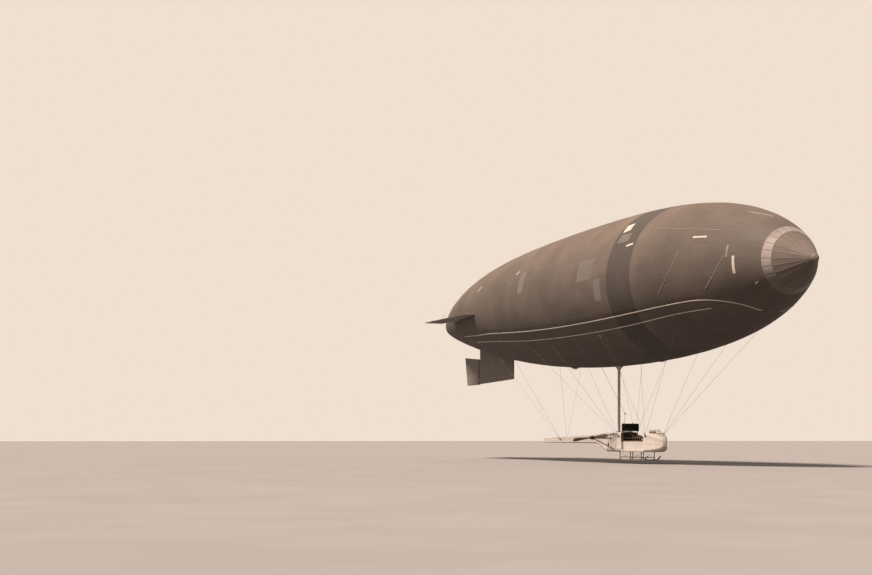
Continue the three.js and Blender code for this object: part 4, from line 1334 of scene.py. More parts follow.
@dataclass(frozen=True)
class Surface:
    """A cloth-covered tail surface on ribs: four corners in a plane, and its thickness."""

    corners: tuple[Pair, ...]
    to_space: Callable[[float, float, float], Vector]
    thick: float
    ribs: int
    lead_round: float = 0.0
    sag: float = 0.30
    chord_steps: int = 40
    steps_a_rib: int = 8
    tape_width: float = 0.018
    tape_steps: int = 24
    tape_edge: Route = ((-1, -0.002), (-0.7, 0.0035), (0.7, 0.0035), (1, -0.002))

    def place(self, a: float, b: float) -> Pair:
        """Return the plane's coordinates at a share along the chord and along the span.

        Args:
            a: Share of the way along the chord.
            b: Share of the way along the span.

        Returns:
            The two coordinates.
        """
        lead_root, lead_tip, trail_tip, trail_root = (Vector(c) for c in self.corners)
        root, tip = lead_root.lerp(trail_root, a), lead_tip.lerp(trail_tip, a)
        if self.lead_round:
            back = min(1.0, a * (trail_tip - lead_tip).length / self.lead_round)
            share = self.lead_round / (tip - root).length
            tip = tip.lerp(root, share * (1 - math.sqrt(1 - (1 - back) ** 2)))
        return tuple(root.lerp(tip, b))

    def half(self, a: float, b: float) -> float:
        """Return half the thickness at a share along the chord and along the span.

        Args:
            a: Share of the way along the chord.
            b: Share of the way along the span.

        Returns:
            Half the thickness.
        """
        edge = min(1.0, min(a, 1 - a) / 0.035, (1 - b) / 0.05)
        drum = abs(math.sin(math.pi * b * self.ribs)) * math.sin(math.pi * a) ** 0.5
        return self.thick / 2 * math.sqrt(max(edge, 0.02)) * (1 - self.sag * drum)

    def spot(self, a: float, b: float, face: int, lift: float = 0.0) -> Vector:
        """Return a point on a face.

        Args:
            a: The share along the chord.
            b: The share along the span.
            face: 1 or -1, for the two faces.
            lift: How far off the cloth.

        Returns:
            The point.
        """
        return self.to_space(*self.place(a, b), face * (self.half(a, b) + lift))

    def cloth(self) -> Form:
        """Return the cloth, drawn in between the ribs.

        Returns:
            The form.
        """
        chord = [(1 - math.cos(a)) / 2 for a in evenly(0, math.pi, self.chord_steps)]
        form = Form()
        form.loft([
            [*(self.spot(a, b, 1) for a in chord), *(self.spot(a, b, -1) for a in reversed(chord))]
            for b in evenly(0, 1, self.ribs * self.steps_a_rib)])
        return form

    def tapes(self) -> Form:
        """Return the tapes sewn over the ribs on both faces.

        Returns:
            The form.
        """
        form, half = Form(), self.tape_width / 2 / math.dist(*self.corners[:2])
        for rib in range(1, self.ribs):
            for face in (1, -1):
                edge = [(rib / self.ribs + shift * half, face, lift) for shift, lift in self.tape_edge]
                chord = evenly(0.02, 0.98, self.tape_steps)
                form.loft([[self.spot(a, *spot) for spot in edge] for a in chord])
        return form


@dataclass
class Tail:
    """Stabilizers with elevators, and the keel fin with the rudder."""

    lead: float = 18.6
    trail: float = 22.17
    tip: float = 2.3
    corner: float = 0.3
    elevator: Pair = (22.25, 23.05)
    elevator_root: float = 1.525
    keel_lead: float = 19.05
    keel_trail: float = 22.42
    keel_depths: Pair = (2.51, 2.59)
    keel_round: float = 0.06
    rudder: tuple[Pair, ...] = ((22.5, 1.525), (22.5, 2.61), (23.75, 2.61), (24.0, 1.39))
    sunk: float = 0.93
    thick: float = 0.05
    moving_thick: float = 0.035
    post: float = 0.03
    lug_room: float = 0.021
    lug_reach: float = 0.064
    lug: float = 0.02
    stabilizer_lugs: Pair = (1.65, 2.15)
    keel_lugs: Pair = (1.675, 2.425)
    pin: float = 0.0095
    wire: float = 0.0035
    wire_feet: Route = ((19.3, 55.0), (21.4, 60.0), (19.3, -52.0), (21.4, -58.0))

    def build(self) -> None:
        """Make the fixed and the moving surfaces with their fittings."""
        for side in Side:
            self.stabilizer(side)
        self.keel()

    def stabilizer(self, side: Side) -> None:
        """Make one side's stabilizer, elevator, hinges and wires.

        Args:
            side: Which side.
        """
        def level(station: float, span: float, rise: float) -> Vector:
            """Map a level plane to the ship."""
            return vec(station_x(station), side.value * span, rise)

        inboard = float(BAG.radius_at(self.trail)) * self.sunk
        hinge, end = self.elevator
        root, tip, name = self.elevator_root, self.tip, side.label
        self.fin(
            Surface(
                ((self.lead, inboard), (self.lead, tip), (self.trail, tip), (self.trail, inboard)),
                level, self.thick, 7, self.corner),
            Surface(((hinge, root), (hinge, tip), (end, tip), (end, root)), level, self.moving_thick, 5),
            (f"stabilizer_{{}}_{name}", f"stabilizer_{name}", f"elevator_{name}"),
            self.stabilizer_lugs, ABEAM * side.value)
        self.wires(side)

    def keel(self) -> None:
        """Make the keel fin, the rudder and their hinges."""
        def upright(station: float, depth: float, aside: float) -> Vector:
            """Map the keel's plane to the ship."""
            return vec(station_x(station), aside, -depth)

        inside = -BAG.point(self.keel_trail, -90.0).z * self.sunk
        fore, aft = self.keel_depths
        lead, trail = self.keel_lead, self.keel_trail
        self.fin(
            Surface(
                ((lead, inside), (lead, fore), (trail, aft), (trail, inside)),
                upright, self.thick, 7, self.keel_round),
            Surface(self.rudder, upright, self.moving_thick, 6),
            ("keel_{}", "keel_fin", "rudder"), self.keel_lugs, -UP)

    def fin(
        self, fixed: Surface, moving: Surface, names: tuple[str, str, str], spots: Pair, axis: Vector
    ) -> None:
        """Make a fixed surface and the one that is hinged behind it.

        Args:
            fixed: The fixed surface.
            moving: The moving surface, with its first two corners on the hinge line.
            names: The pattern of the fixed pieces' names, the fixed node and the moving node.
            spots: Where the lugs are along the span.
            axis: The hinge's direction.
        """
        pattern, node, body = names
        lugs = [moving.to_space(moving.corners[0][0], spot, 0.0) for spot in spots]
        fixed.cloth().piece(pattern.format("cloth"), Look.FIN, node)
        fixed.tapes().piece(pattern.format("tapes"), Look.FIN_TAPE)
        self.moving_surface(body, moving, lugs, axis)
        self.lugs(pattern.format("lugs"), lugs, axis)

    def moving_surface(self, name: str, surface: Surface, lugs: Loop, axis: Vector) -> None:
        """Make a surface that turns on its round leading spar.

        Args:
            name: The node's and the body's name.
            surface: The surface behind its hinge line.
            lugs: The middles of the lugs that hold its pins.
            axis: The hinge's direction.
        """
        spar, rooms, pins = Form(), Form(), Form()
        start, end = (surface.to_space(*corner, 0.0) for corner in surface.corners[:2])
        length, post, slope = (end - start).length, self.post, 0.004
        spar.lathe(
            [(0.0, post - slope), (slope, post), (length - slope, post), (length, post - slope)],
            start, end - start, 24, POINT)
        made_of = (
            surface.cloth().piece(f"{name}_cloth", Look.FIN, name, body=name),
            spar.piece(f"{name}_spar", Look.FIN, body=name),
            surface.tapes().piece(f"{name}_tapes", Look.FIN_TAPE, body=name))
        room, pin = self.lug_room * 2, self.lug_room * 2 + 0.012
        for lug in lugs:
            rooms.lathe([(0.0, self.lug_reach), (room, self.lug_reach)], lug - axis * (room / 2), axis, 32)
            pins.lathe([(0.0, self.pin), (pin, self.pin)], lug - axis * (pin / 2), axis, 16, POINT)
        for piece in made_of:
            carve(piece, rooms)
        pins.piece(f"{name}_pins", Look.STEEL, body=name)

    def lugs(self, name: str, middles: Loop, axis: Vector) -> None:
        """Make the lugs that carry a moving surface.

        Args:
            name: The piece's name.
            middles: The lugs' middles, on the hinge line.
            axis: The hinge's direction.
        """
        form, across = Form(), AHEAD.cross(axis).normalized()
        for middle in middles:
            loops = []
            for shift, rim in ((-0.011, 0.9), (-0.009, 1.0), (0.009, 1.0), (0.011, 0.9)):
                centre = middle + axis * shift
                loops.append([
                    *(centre + (across * math.sin(a) - AHEAD * math.cos(a)) * self.lug * rim
                      for a in evenly(-math.pi / 2, math.pi / 2, 12)),
                    *(centre + AHEAD * 0.078 + across * 0.016 * rim * s for s in (1, -1))])
            form.loft(loops)
            for s in (1, -1):
                form.bolt(middle + AHEAD * 0.072 + across * 0.016 * s, across * s, 0.005)
        form.piece(name, Look.STEEL)

    def wires(self, side: Side) -> None:
        """Make the bracing wires of one stabilizer and the patches they end in.

        Args:
            side: Which side.
        """
        wires, pads = Form(), Form()
        for station, degrees in self.wire_feet:
            sign = 1 if degrees > 0 else -1
            outer = vec(station_x(station), side.value * (self.tip - 0.06), sign * self.thick * 0.45)
            foot = BAG.point(station, degrees, side, 0.006)
            wires.tube([outer, foot], self.wire, 8)
            wires.tube([outer.lerp(foot, 0.06), outer.lerp(foot, 0.12)], self.wire * 2.2, 8)
            pads.add(Patch("pad", station, degrees, 0.16, 0.12, Look.PATCH).form(side))
        wires.piece(f"stabilizer_wires_{side.label}", Look.CABLE)
        pads.piece(f"wire_pads_{side.label}", Look.PATCH)


@dataclass(frozen=True)
class CarSection:
    """One section of the car's body: its place, its sizes and its rounded corners."""

    station: float
    half: float
    bottom: float
    top: float
    corner: float


@dataclass(frozen=True)
class CarBody:
    """A cloth skin over longerons and ribs, through a few sections."""

    sections: tuple[CarSection, ...]
    rib_step: float = 0.28
    sag: float = 0.007
    flat_steps: int = 14
    corner_steps: int = 6
    tape: float = 0.022
    lift: float = 0.0022

    def section(self, station: float) -> CarSection:
        """Return the section at a station, on smooth curves through the given ones.

        Args:
            station: Metres from the nose.

        Returns:
            The section.
        """
        places = [s.station for s in self.sections]
        return CarSection(station, *(
            smooth_through(places, [getattr(s, key) for s in self.sections], station)
            for key in ("half", "bottom", "top", "corner")))

    def loop(self, station: float, inset: float = 0.0, taut: bool = False) -> Loop:
        """Return the skin round the body at a station.

        Args:
            station: Metres behind the nose.
            inset: How far inside the skin.
            taut: Whether the cloth isn't drawn in between the ribs.

        Returns:
            The points, from the deck's starboard corner round by port.
        """
        s = self.section(station)
        wide, low, high = s.half - inset, s.bottom + inset, s.top - inset
        r = min(s.corner * 1.2 - inset * 0.4, wide * 0.95, (high - low) * 0.45)
        bay = abs(math.sin(math.pi * (station - self.sections[0].station) / self.rib_step))
        sag = 0.0 if taut else self.sag * bay
        flat, foot, head = wide - r, low + r, high - r
        loop = []
        for (y0, z0), (y1, z1), (draw_y, draw_z), (y, z, turn) in (
                ((-flat, high), (flat, high), (0, 0), (flat, head, 90)),
                ((wide, head), (wide, foot), (-1, 0), (flat, foot, 0)),
                ((flat, low), (-flat, low), (0, 1), (-flat, foot, -90)),
                ((-wide, foot), (-wide, head), (1, 0), (-flat, head, 180))):
            for t in evenly(0, 1, self.flat_steps):
                draw = sag * abs(math.sin(math.tau * t))
                flat_y, flat_z = y0 + (y1 - y0) * t, z0 + (z1 - z0) * t
                loop.append(at(station, flat_y + draw_y * draw, flat_z + draw_z * draw))
            for k in range(1, self.corner_steps):
                a = math.radians(turn - 90 * k / self.corner_steps)
                loop.append(at(station, y + r * math.cos(a), z + r * math.sin(a)))
        return loop

    def stations(self, start: float, end: float, steps_a_bay: int = 8) -> list[float]:
        """Return the stations of the loops between two ends."""
        return evenly(start, end, max(2, round((end - start) / self.rib_step * steps_a_bay)))

    def tapes(self, start: float, end: float) -> Form:
        """Return the tapes sewn round the body over its ribs.

        Args:
            start: The first station.
            end: The last station.

        Returns:
            The tapes.
        """
        form, first, lift = Form(), self.sections[0].station, self.lift
        rib = math.ceil((start - first + 0.02) / self.rib_step)
        half = ((0.5, 0.004), (0.5, -lift * 0.4), (0.3, -lift))
        edge = [*((-shift, inset) for shift, inset in half), *reversed(half)]
        while (station := first + rib * self.rib_step) < end - 0.02:
            loops = [self.loop(station + self.tape * shift, inset, True) for shift, inset in edge]
            form.loft(loops, joined=True)
            rib += 1
        return form


@dataclass
class Car:
    """The car's pale body: a bow, low sides, a deep part with a cockpit and a tail boom."""

    bow: CarBody = CarBody((
        CarSection(7.7, 0.06, 0.58, 0.79, 0.03), CarSection(7.775, 0.14, 0.49, 0.88, 0.06),
        CarSection(7.95, 0.23, 0.43, 0.965, 0.08), CarSection(8.2, 0.30, 0.40, 1.015, 0.08),
        CarSection(8.5, 0.325, 0.40, 1.025, 0.07)), 0.2)
    rear: CarBody = CarBody((
        CarSection(9.965, 0.325, 0.4, 1.065, 0.07), CarSection(11.0, 0.31, 0.4, 1.065, 0.07)), 0.259)
    boom: CarBody = CarBody((
        CarSection(11.005, 0.31, 0.4, 1.065, 0.07), CarSection(11.45, 0.25, 0.53, 1.04, 0.06),
        CarSection(11.95, 0.18, 0.68, 1.0, 0.05), CarSection(14.0, 0.14, 0.695, 0.94, 0.04),
        CarSection(16.15, 0.085, 0.71, 0.88, 0.03), CarSection(16.3, 0.045, 0.745, 0.845, 0.02)), 0.3)
    wall: float = 0.015
    hatch: tuple[float, float, float] = (10.06, 10.475, 0.21)
    coaming: float = 0.021
    coaming_round: float = 0.05
    deck: float = 1.065
    planks: int = 7
    side_bay: float = 0.28
    rail: float = 0.013
    rail_y: float = 0.3175
    laces: int = 26
    laced: Pair = (9.99, 10.97)
    cover_at: tuple[float, float, float] = (10.84, 0.3145, 0.645)
    cover: Flange = Flange(
        ((0.0, 0.05), (0.004, 0.05), (0.006, 0.046), (0.006, 0.036), (0.009, 0.034), (0.011, 0.02)),
        32, 0.004, 0.042, 8, 0.0028, 0.0, POINT)

    def build(self) -> None:
        """Make the body and what is fixed to it."""
        self.skins()
        self.cockpit()
        self.firewall()
        self.floor()
        for side in Side:
            self.sides(side)
            self.lacing(side)

    def skins(self) -> None:
        """Make the bow's, the rear's and the boom's cloth."""
        bow, rear, boom = Form(), Form(), Form()
        fore, aft = self.bow.sections[0].station, self.bow.sections[-1].station
        stations = self.bow.stations(fore, aft, 10)
        count = len(stations)
        inner = [
            self.bow.loop(min(s + 0.03 * (1 - i / count), aft), self.wall) for i, s in enumerate(stations)]
        bow.shell([self.bow.loop(s) for s in stations], inner, lambda row, place: False, 0)
        bow.piece("bow_cloth", Look.CAR, "car_bow")
        self.bow.tapes(7.85, 8.45).piece("bow_tapes", Look.CAR_TAPE)
        start, end, half = self.hatch
        stations = self.rear.stations(9.965, 11.0)
        stations = sorted({*(s for s in stations if min(abs(s - start), abs(s - end)) > 0.015), start, end})
        outer = [self.fit_hatch(self.rear.loop(s)) for s in stations]
        inner = [self.fit_hatch(self.rear.loop(min(s, 10.985), self.wall, True)) for s in stations]

        def in_hatch(row: int, place: int) -> bool:
            """Return whether a cell of the rear's skin is in the cockpit's hatch.

            Args:
                row: Which section.
                place: Which point of it.

            Returns:
                Whether it is in the hatch.
            """
            middle = (outer[row][place] + outer[row][(place + 1) % len(outer[row])]) / 2
            inside = start - 1e-4 < (stations[row] + stations[row + 1]) / 2 < end + 1e-4
            return inside and abs(middle.y) < half and place < self.rear.flat_steps

        rear.shell(outer, inner, in_hatch, -1)
        rear.piece("rear_cloth", Look.CAR, "car_rear")
        boom.loft([self.boom.loop(s) for s in self.boom.stations(11.005, 16.3)])
        boom.piece("boom_cloth", Look.CAR, "car_boom")
        tapes = self.boom.tapes(11.01, 16.2)
        tapes.add(self.rear.tapes(10.5, 10.98))
        tapes.piece("boom_tapes", Look.CAR_TAPE)

    def fit_hatch(self, loop: Loop) -> Loop:
        """Move the deck's points so that two of them lie on the hatch's edges.

        Args:
            loop: A section of the car's skin.

        Returns:
            The section with those points moved.
        """
        half, edge = self.hatch[2], abs(loop[0].y)
        for point, y in zip(loop, [-edge, *np.linspace(-half, half, self.rear.flat_steps - 1), edge]):
            point.y = y
        return loop

    def cockpit(self) -> None:
        """Make the padded roll round the cockpit's hatch and the port covers on the sides."""
        start, end, half = self.hatch
        r, z = self.coaming_round, height_z(self.deck) + self.coaming * 0.35
        fore, aft, wide = station_x(start) - r, station_x(end) + r, half - r
        roll, covers = Form(), Form()
        roll.closed_tube([
            vec(x + r * math.cos(a), y + r * math.sin(a), z)
            for x, y, quarter in ((aft, wide, 1), (aft, -wide, 2), (fore, -wide, 3), (fore, wide, 0))
            for a in evenly(quarter * math.pi / 2, (quarter + 1) * math.pi / 2, 10)], self.coaming, 14)
        roll.piece("cockpit_roll", Look.LEATHER)
        station, y, height = self.cover_at
        for side in Side:
            self.cover.put(covers, at(station, side.value * y, height), ABEAM * side.value)
        covers.piece("port_covers", Look.IRON)

    def firewall(self) -> None:
        """Make the sheet between the engine's bay and the rear, with its flange, beads and rivets."""
        low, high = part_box("firewall")
        sheet, rivets = Form(), Form()
        face, edge = low.x + 0.010, 0.02
        sheet.block(low, vec(face, high.y, high.z), 0.002)
        for a, b in (
                ((low.y, low.z), (high.y, low.z + edge)), ((low.y, high.z - edge), (high.y, high.z)),
                ((low.y, low.z), (low.y + edge, high.z)), ((high.y - edge, low.z), (high.y, high.z))):
            sheet.block(vec(face - 0.002, *a), vec(face + 0.004, *b), 0.0015)
        for y in middles(low.y, high.y, 6):
            ends = [vec(face, y, low.z + rise) for rise in (0.05, 0.07, 0.55, 0.57)]
            sheet.tube(ends, [0.002, 0.0075, 0.0075, 0.002], 12)
        rivet = (0, 0.004), (0.002, 0.0032), (0.0028, POINT)
        for y in evenly(low.y + 0.01, high.y - 0.01, 13):
            for z in (low.z + 0.01, high.z - 0.01):
                rivets.lathe(rivet, vec(face + 0.004, y, z), AHEAD, 8, 0)
        sheet.piece("firewall_sheet", Look.IRON, "firewall")
        rivets.piece("firewall_rivets", Look.STEEL)

    def floor(self) -> None:
        """Make the floor's planks with their screws."""
        low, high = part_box("car_floor")
        wide, gap = (high.y - low.y) / self.planks, 0.0015
        planks, screws, screw = Form(), Form(), ((0, 0.004), (0.0012, 0.0035), (0.0015, POINT))
        for k in range(self.planks):
            y = low.y + wide * k
            planks.block(vec(low.x, y + gap, low.z), vec(high.x, y + wide - gap, high.z), 0.003)
            for x in middles(low.x, high.x, 7):
                for shift in (0.25, 0.75):
                    screws.lathe(screw, vec(x, y + wide * shift, high.z), UP, 8, 0)
        planks.piece("floor_planks", Look.WOOD, "car_floor")
        screws.piece("floor_screws", Look.BRASS)

    def sides(self, side: Side) -> None:
        """Make the low sides of the open bay with their rail.

        Args:
            side: Which side.
        """
        ends = []
        for part in ("fore", "aft"):
            node = f"side_panel_{part}_{side.label}"
            low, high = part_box(node)
            bays = max(2, round((high.x - low.x) / self.side_bay))
            cloth, tapes = Form(), Form()
            cloth.loft([
                self.panel_loop(low, high, x, 0.005 * abs(math.sin(math.pi * i / 8)))
                for i, x in enumerate(evenly(low.x, high.x, bays * 8))])
            for x in evenly(low.x, high.x, bays)[1:-1]:
                edge = (-0.011, 0.002), (-0.0077, -0.002), (0.0077, -0.002), (0.011, 0.002)
                tapes.loft([self.panel_loop(low, high, x + shift, draw) for shift, draw in edge])
            name = f"{part}_{side.label}"
            cloth.piece(f"side_cloth_{name}", Look.CAR, node)
            tapes.piece(f"side_tapes_{name}", Look.CAR_TAPE)
            ends += [low.x, high.x]
        y, z = side.value * self.rail_y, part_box(f"side_panel_fore_{side.label}")[1].z
        rail = Form()
        rail.tube([vec(min(ends) + 0.004, y, z), vec(max(ends) - 0.004, y, z)], self.rail, 14)
        rail.piece(f"side_rail_{side.label}", Look.LEATHER)

    def panel_loop(self, low: Vector, high: Vector, x: float, draw: float) -> Loop:
        """Return a section through a low side.

        Args:
            low: The node's lowest corner.
            high: The node's highest corner.
            x: The section's place.
            draw: How far both faces are drawn in.

        Returns:
            The points round the section.
        """
        steps, middle, half = 10, (low.y + high.y) / 2, (high.y - low.y) / 2
        face = []
        for i, t in enumerate(evenly(0, 1, steps)):
            inset = draw * math.sin(math.pi * t) + (half * 0.5 if i in (0, steps) else 0.0)
            face.append((half - inset, low.z + (high.z - low.z) * t))
        points = [(middle + y, z) for y, z in face] + [(middle - y, z) for y, z in reversed(face)]
        return [vec(x, y, z) for y, z in points]

    def lacing(self, side: Side) -> None:
        """Make the cord that laces the rear's cloth along its lower longeron.

        Args:
            side: Which side.
        """
        cords, eyes, out = Form(), Form(), ABEAM * side.value
        eye = (-0.001, 0.004), (0.0012, 0.004), (0.0015, 0.0018), (0.0015, POINT)
        for station in middles(*self.laced, self.laces):
            y = side.value * (self.rear.section(station).half + 0.001)
            seats = [
                at(station + shift, y, level)
                for shift, level in ((-0.012, 0.515), (0.012, 0.515), (0.012, 0.487), (-0.012, 0.487))]
            for seat in seats:
                eyes.lathe(eye, seat, out, 10, 0)
            cords.tube([seats[0] + out * 0.002, seats[2] + out * 0.0045], 0.0022, 6)
            cords.tube([seats[1] + out * 0.002, seats[3] + out * 0.003], 0.0022, 6)
        cords.piece(f"lacing_{side.label}", Look.TAPE)
        eyes.piece(f"lacing_eyes_{side.label}", Look.BRASS)


def curve(points: Sequence[Vector], steps: int) -> list[Vector]:
    """Return a smooth path through points.

    Args:
        points: The points.
        steps: The steps between two of them.

    Returns:
        The points of the path.
    """
    ends = [points[0] * 2 - points[1], *points, points[-1] * 2 - points[-2]]
    path = []
    for a, b, c, d in zip(ends, ends[1:], ends[2:], ends[3:]):
        bend, twist = a * 2 - b * 5 + c * 4 - d, b * 3 - a - c * 3 + d
        path += [(b * 2 + (c - a) * t + bend * t**2 + twist * t**3) / 2 for t in evenly(0, 1, steps)[:-1]]
    return [*path, points[-1]]


@dataclass
class Engine:
    """A water-cooled four-cylinder engine on wooden bearers."""

    cylinders: int = 4
    flywheel: float = 0.095
    jacket: float = 0.0545
    pipe: float = 0.012
    nose: float = 0.06
    inlet: Pair = (0.112, 0.36)
    magneto_y: float = -0.13
    strap: float = 0.003

    def __post_init__(self) -> None:
        """Find the engine's place in the frame."""
        low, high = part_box("engine")
        self.base = low.z
        self.aft, self.fore = low.x, high.x - self.nose
        self.pitch = (self.fore - self.aft) / self.cylinders

    def build(self) -> None:
        """Make the engine round its node's place."""
        self.crankcase()
        self.barrels()
        self.gear()
        self.fittings()
        for side in Side:
            self.bearer(side)

    def row(self, y: float, height: float) -> Loop:
        """Return a point for each cylinder, at a Y and a height above the base."""
        return [
            vec(self.fore - self.pitch * (k + 0.5), y, self.base + height) for k in range(self.cylinders)]

    def crankcase(self) -> None:
        """Make the crankcase, its flange, its feet and the flywheel."""
        case, wheel, b = Form(), Form(), self.base
        for inset, wide, foot, head, bevel in (
                (0.01, 0.082, 0.0, 0.085, 0.02), (0.0, 0.1, 0.08, 0.096, 0.003),
                (0.004, 0.092, 0.09, 0.2, 0.018)):
            case.block(vec(self.aft + inset, -wide, b + foot), vec(self.fore - inset, wide, b + head), bevel)
        for x in evenly(self.aft + 0.02, self.fore - 0.02, self.cylinders):
            case.block(vec(x - 0.009, -0.134, b), vec(x + 0.009, 0.134, b + 0.026), 0.004)
            for side in (1, -1):
                case.bolt(vec(x, side * 0.122, b + 0.026), UP, 0.0075)
                case.bolt(vec(x, side * 0.095, b + 0.096), UP, 0.005)
        rim = self.flywheel
        wheel.lathe([
            (0.0, 0.03), (0.016, 0.03), (0.022, 0.04), (0.022, rim - 0.02), (0.012, rim - 0.016),
            (0.012, rim - 0.003), (0.015, rim), (0.06, rim), (0.063, rim - 0.003), (0.063, rim - 0.018),
            (0.045, rim - 0.022), (0.04, 0.04), (0.05, 0.028), (0.063, 0.024)],
            vec(self.fore - 0.004, 0, b + 0.1), AHEAD, 56)
        case.piece("crankcase", Look.ALLOY, "engine")
        wheel.piece("flywheel", Look.IRON)

    def barrels(self) -> None:
        """Make the cylinders in their copper jackets."""
        iron, copper, j = Form(), Form(), self.jacket
        for foot in self.row(0.0, 0.196):
            iron.lathe([(0, 0.058), (0.01, 0.058), (0.013, 0.046), (0.045, 0.046)], foot, UP, 40)
            iron.heads(bolt_head(0.005), foot + UP * 0.01, UP, 0.052, 6, 0.5)
            copper.lathe([
                (0.03, 0.048), (0.034, j), (0.07, j - 0.001), (0.073, j + 0.0015), (0.077, j - 0.001),
                (0.135, j - 0.001), (0.138, j + 0.0015), (0.142, j - 0.001), (0.19, j), (0.208, j - 0.012),
                (0.216, 0.03)], foot, UP, 40)
            iron.lathe([
                (0.21, 0.001), (0.21, 0.026), (0.235, 0.024), (0.24, 0.018), (0.258, 0.018), (0.26, 0.001)],
                foot, UP, 24, 0)
        iron.piece("cylinders", Look.IRON)
        copper.piece("water_jackets", Look.COPPER)

    def gear(self) -> None:
        """Make the pushrods, the rockers, the valve springs and the plugs."""
        steel, brass = Form(), Form()
        for middle in self.row(0.0, 0.0):
            for shift in (-0.026, 0.026):
                here = middle + AHEAD * shift
                foot, top = here + vec(0, 0.088, 0.198), here + vec(0, 0.082, 0.455)
                stem = here + vec(0, 0.03, 0.448)
                steel.lathe([(0, 0.001), (0, 0.011), (0.03, 0.009), (0.032, 0.001)], foot, UP, 12, 0)
                steel.tube([foot, top], 0.0042)
                steel.tube([top + UP * 0.002, here + vec(0, 0.056, 0.468), stem + UP * 0.006], 0.0062)
                for coil in range(4):
                    steel.ring(stem - UP * (0.006 + 0.008 * coil), UP, 0.0095, 0.0018, 18, 6)
                steel.lathe([(-0.042, 0.004), (0.004, 0.004)], stem, UP, 10)
            brass.lathe([
                (0, 0.0085), (0.009, 0.0085), (0.01, 0.006), (0.02, 0.0055), (0.026, 0.0035), (0.032, 0.003),
                (0.032, POINT)], middle + vec(0, -0.03, 0.408), vec(0, -0.5, 0.86), 12, 0)
        steel.piece("valve_gear", Look.STEEL)
        brass.piece("spark_plugs", Look.BRASS)

    def fittings(self) -> None:
        """Make the inlet pipe, the carburettor, the magneto, its leads and the water pipe."""
        inlet, magneto, leads, water = Form(), Form(), Form(), Form()
        rail = self.row(*self.inlet)
        inlet.tube([rail[0] + AHEAD * 0.02, *rail, rail[-1] - AHEAD * 0.02], 0.014, 16)
        for place in rail:
            inlet.tube([place, place + vec(0, -0.03, 0.004), place + vec(0, -0.062, 0.004)], 0.011, 14)
        middle = (rail[1] + rail[2]) / 2
        inlet.tube([middle, middle - UP * 0.05, middle - UP * 0.085], 0.013, 16)
        inlet.lathe(
            [(0, 0.024), (0.006, 0.028), (0.05, 0.028), (0.056, 0.02), (0.075, 0.016)],
            middle - UP * 0.16, UP, 28)
        inlet.lathe([(0, 0.019), (0.03, 0.019), (0.034, 0.023)], middle - UP * 0.1, ABEAM)
        seat = vec(self.fore - 0.1, self.magneto_y, self.base + 0.1)
        magneto.block(seat, seat + vec(0.075, 0.035, 0.05), 0.008)
        magneto.lathe([(0, 0.022), (0.03, 0.022), (0.036, 0.014)], seat + vec(0, 0.018, 0.028), -AHEAD)
        start = seat + vec(-0.03, 0.01, 0.035)
        for k, plug in enumerate(self.row(-0.046, 0.436)):
            turn = vec(plug.x - 0.02, -0.105, self.base + 0.3 + 0.008 * k)
            spots = [start, start + vec(-0.03, 0, 0.06), turn, plug + vec(-0.01, -0.035, -0.03), plug]
            leads.tube(curve(spots, 6), 0.0028, 8)
        tops, core = self.row(0.0, 0.455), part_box("radiator")[0]
        outlet = vec(core.x + 0.03, 0.0, core.z)
        spots = [tops[0] + AHEAD * 0.01, *tops, tops[-1] + vec(-0.05, 0, 0.02), outlet - UP * 0.09, outlet]
        water.tube(curve(spots, 5), self.pipe, 16)
        for top in tops:
            water.lathe([(-0.03, 0.015), (0.002, 0.013)], top, UP, 16)
        inlet.piece("inlet_pipe", Look.BRASS)
        magneto.piece("magneto", Look.IRON)
        leads.piece("plug_leads", Look.RUBBER)
        water.piece("water_pipe", Look.COPPER, slot="bare_steel")

    def bearer(self, side: Side) -> None:
        """Make one wooden bearer with its straps.

        Args:
            side: Which side.
        """
        node = f"engine_bearer_{side.label}"
        low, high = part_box(node)
        beam, straps, thick = Form(), Form(), self.strap
        beam.block(low, high, 0.006)
        for share in (0.08, 0.5, 0.92):
            x = low.x + (high.x - low.x) * share
            straps.block(
                vec(x - 0.012, low.y - thick, low.z), vec(x + 0.012, high.y + thick, high.z - 0.012), 0.001)
            for y, out in ((low.y - thick, -1), (high.y + thick, 1)):
                for z in (low.z + 0.02, high.z - 0.025):
                    straps.bolt(vec(x, y, z), ABEAM * out, 0.005)
        beam.piece(f"bearer_beam_{side.label}", Look.WOOD, node)
        straps.piece(f"bearer_straps_{side.label}", Look.IRON)


@dataclass
class Exhaust:
    """The exhaust: four branches, a collector and a pipe over the side."""

    engine: Engine
    height: float = 0.86
    offset: float = 0.15
    outside: float = 0.38
    outlet: float = 0.475
    radius: float = 0.0172
    branch: float = 0.0142
    bend: float = 0.045

    def build(self) -> None:
        """Make the exhaust beside the engine."""
        aft, z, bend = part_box("exhaust")[0].x + self.radius, height_z(self.height), self.bend
        near, far, small = -self.offset, -self.outside, self.bend * 0.3
        pipes, flanges = Form(), Form()
        pipes.tube(curve([
            vec(self.engine.fore - 0.03, near, z), vec(aft + bend, near, z),
            vec(aft + small, near - small, z), vec(aft, near - bend, z), vec(aft, far + bend, z),
            vec(aft, far + small, z - small), vec(aft, far, z - bend),
            vec(aft, far, height_z(self.outlet))], 6), self.radius, 20)
        for x, *_ in self.engine.row(0.0, 0.0):
            spots = [vec(x, -0.056, z), vec(x - 0.004, -0.1, z), vec(x - 0.03, near, z)]
            pipes.tube(curve(spots, 6), self.branch, 16)
            flanges.lathe([(0, 0.024), (0.006, 0.024), (0.007, 0.016)], vec(x, -0.0555, z), -ABEAM, 20)
            for shift in (-0.018, 0.018):
                flanges.bolt(vec(x, -0.0615, z + shift), -ABEAM, 0.004)
        pipes.piece("exhaust_pipes", Look.RUST, "exhaust")
        flanges.piece("exhaust_flanges", Look.STEEL)


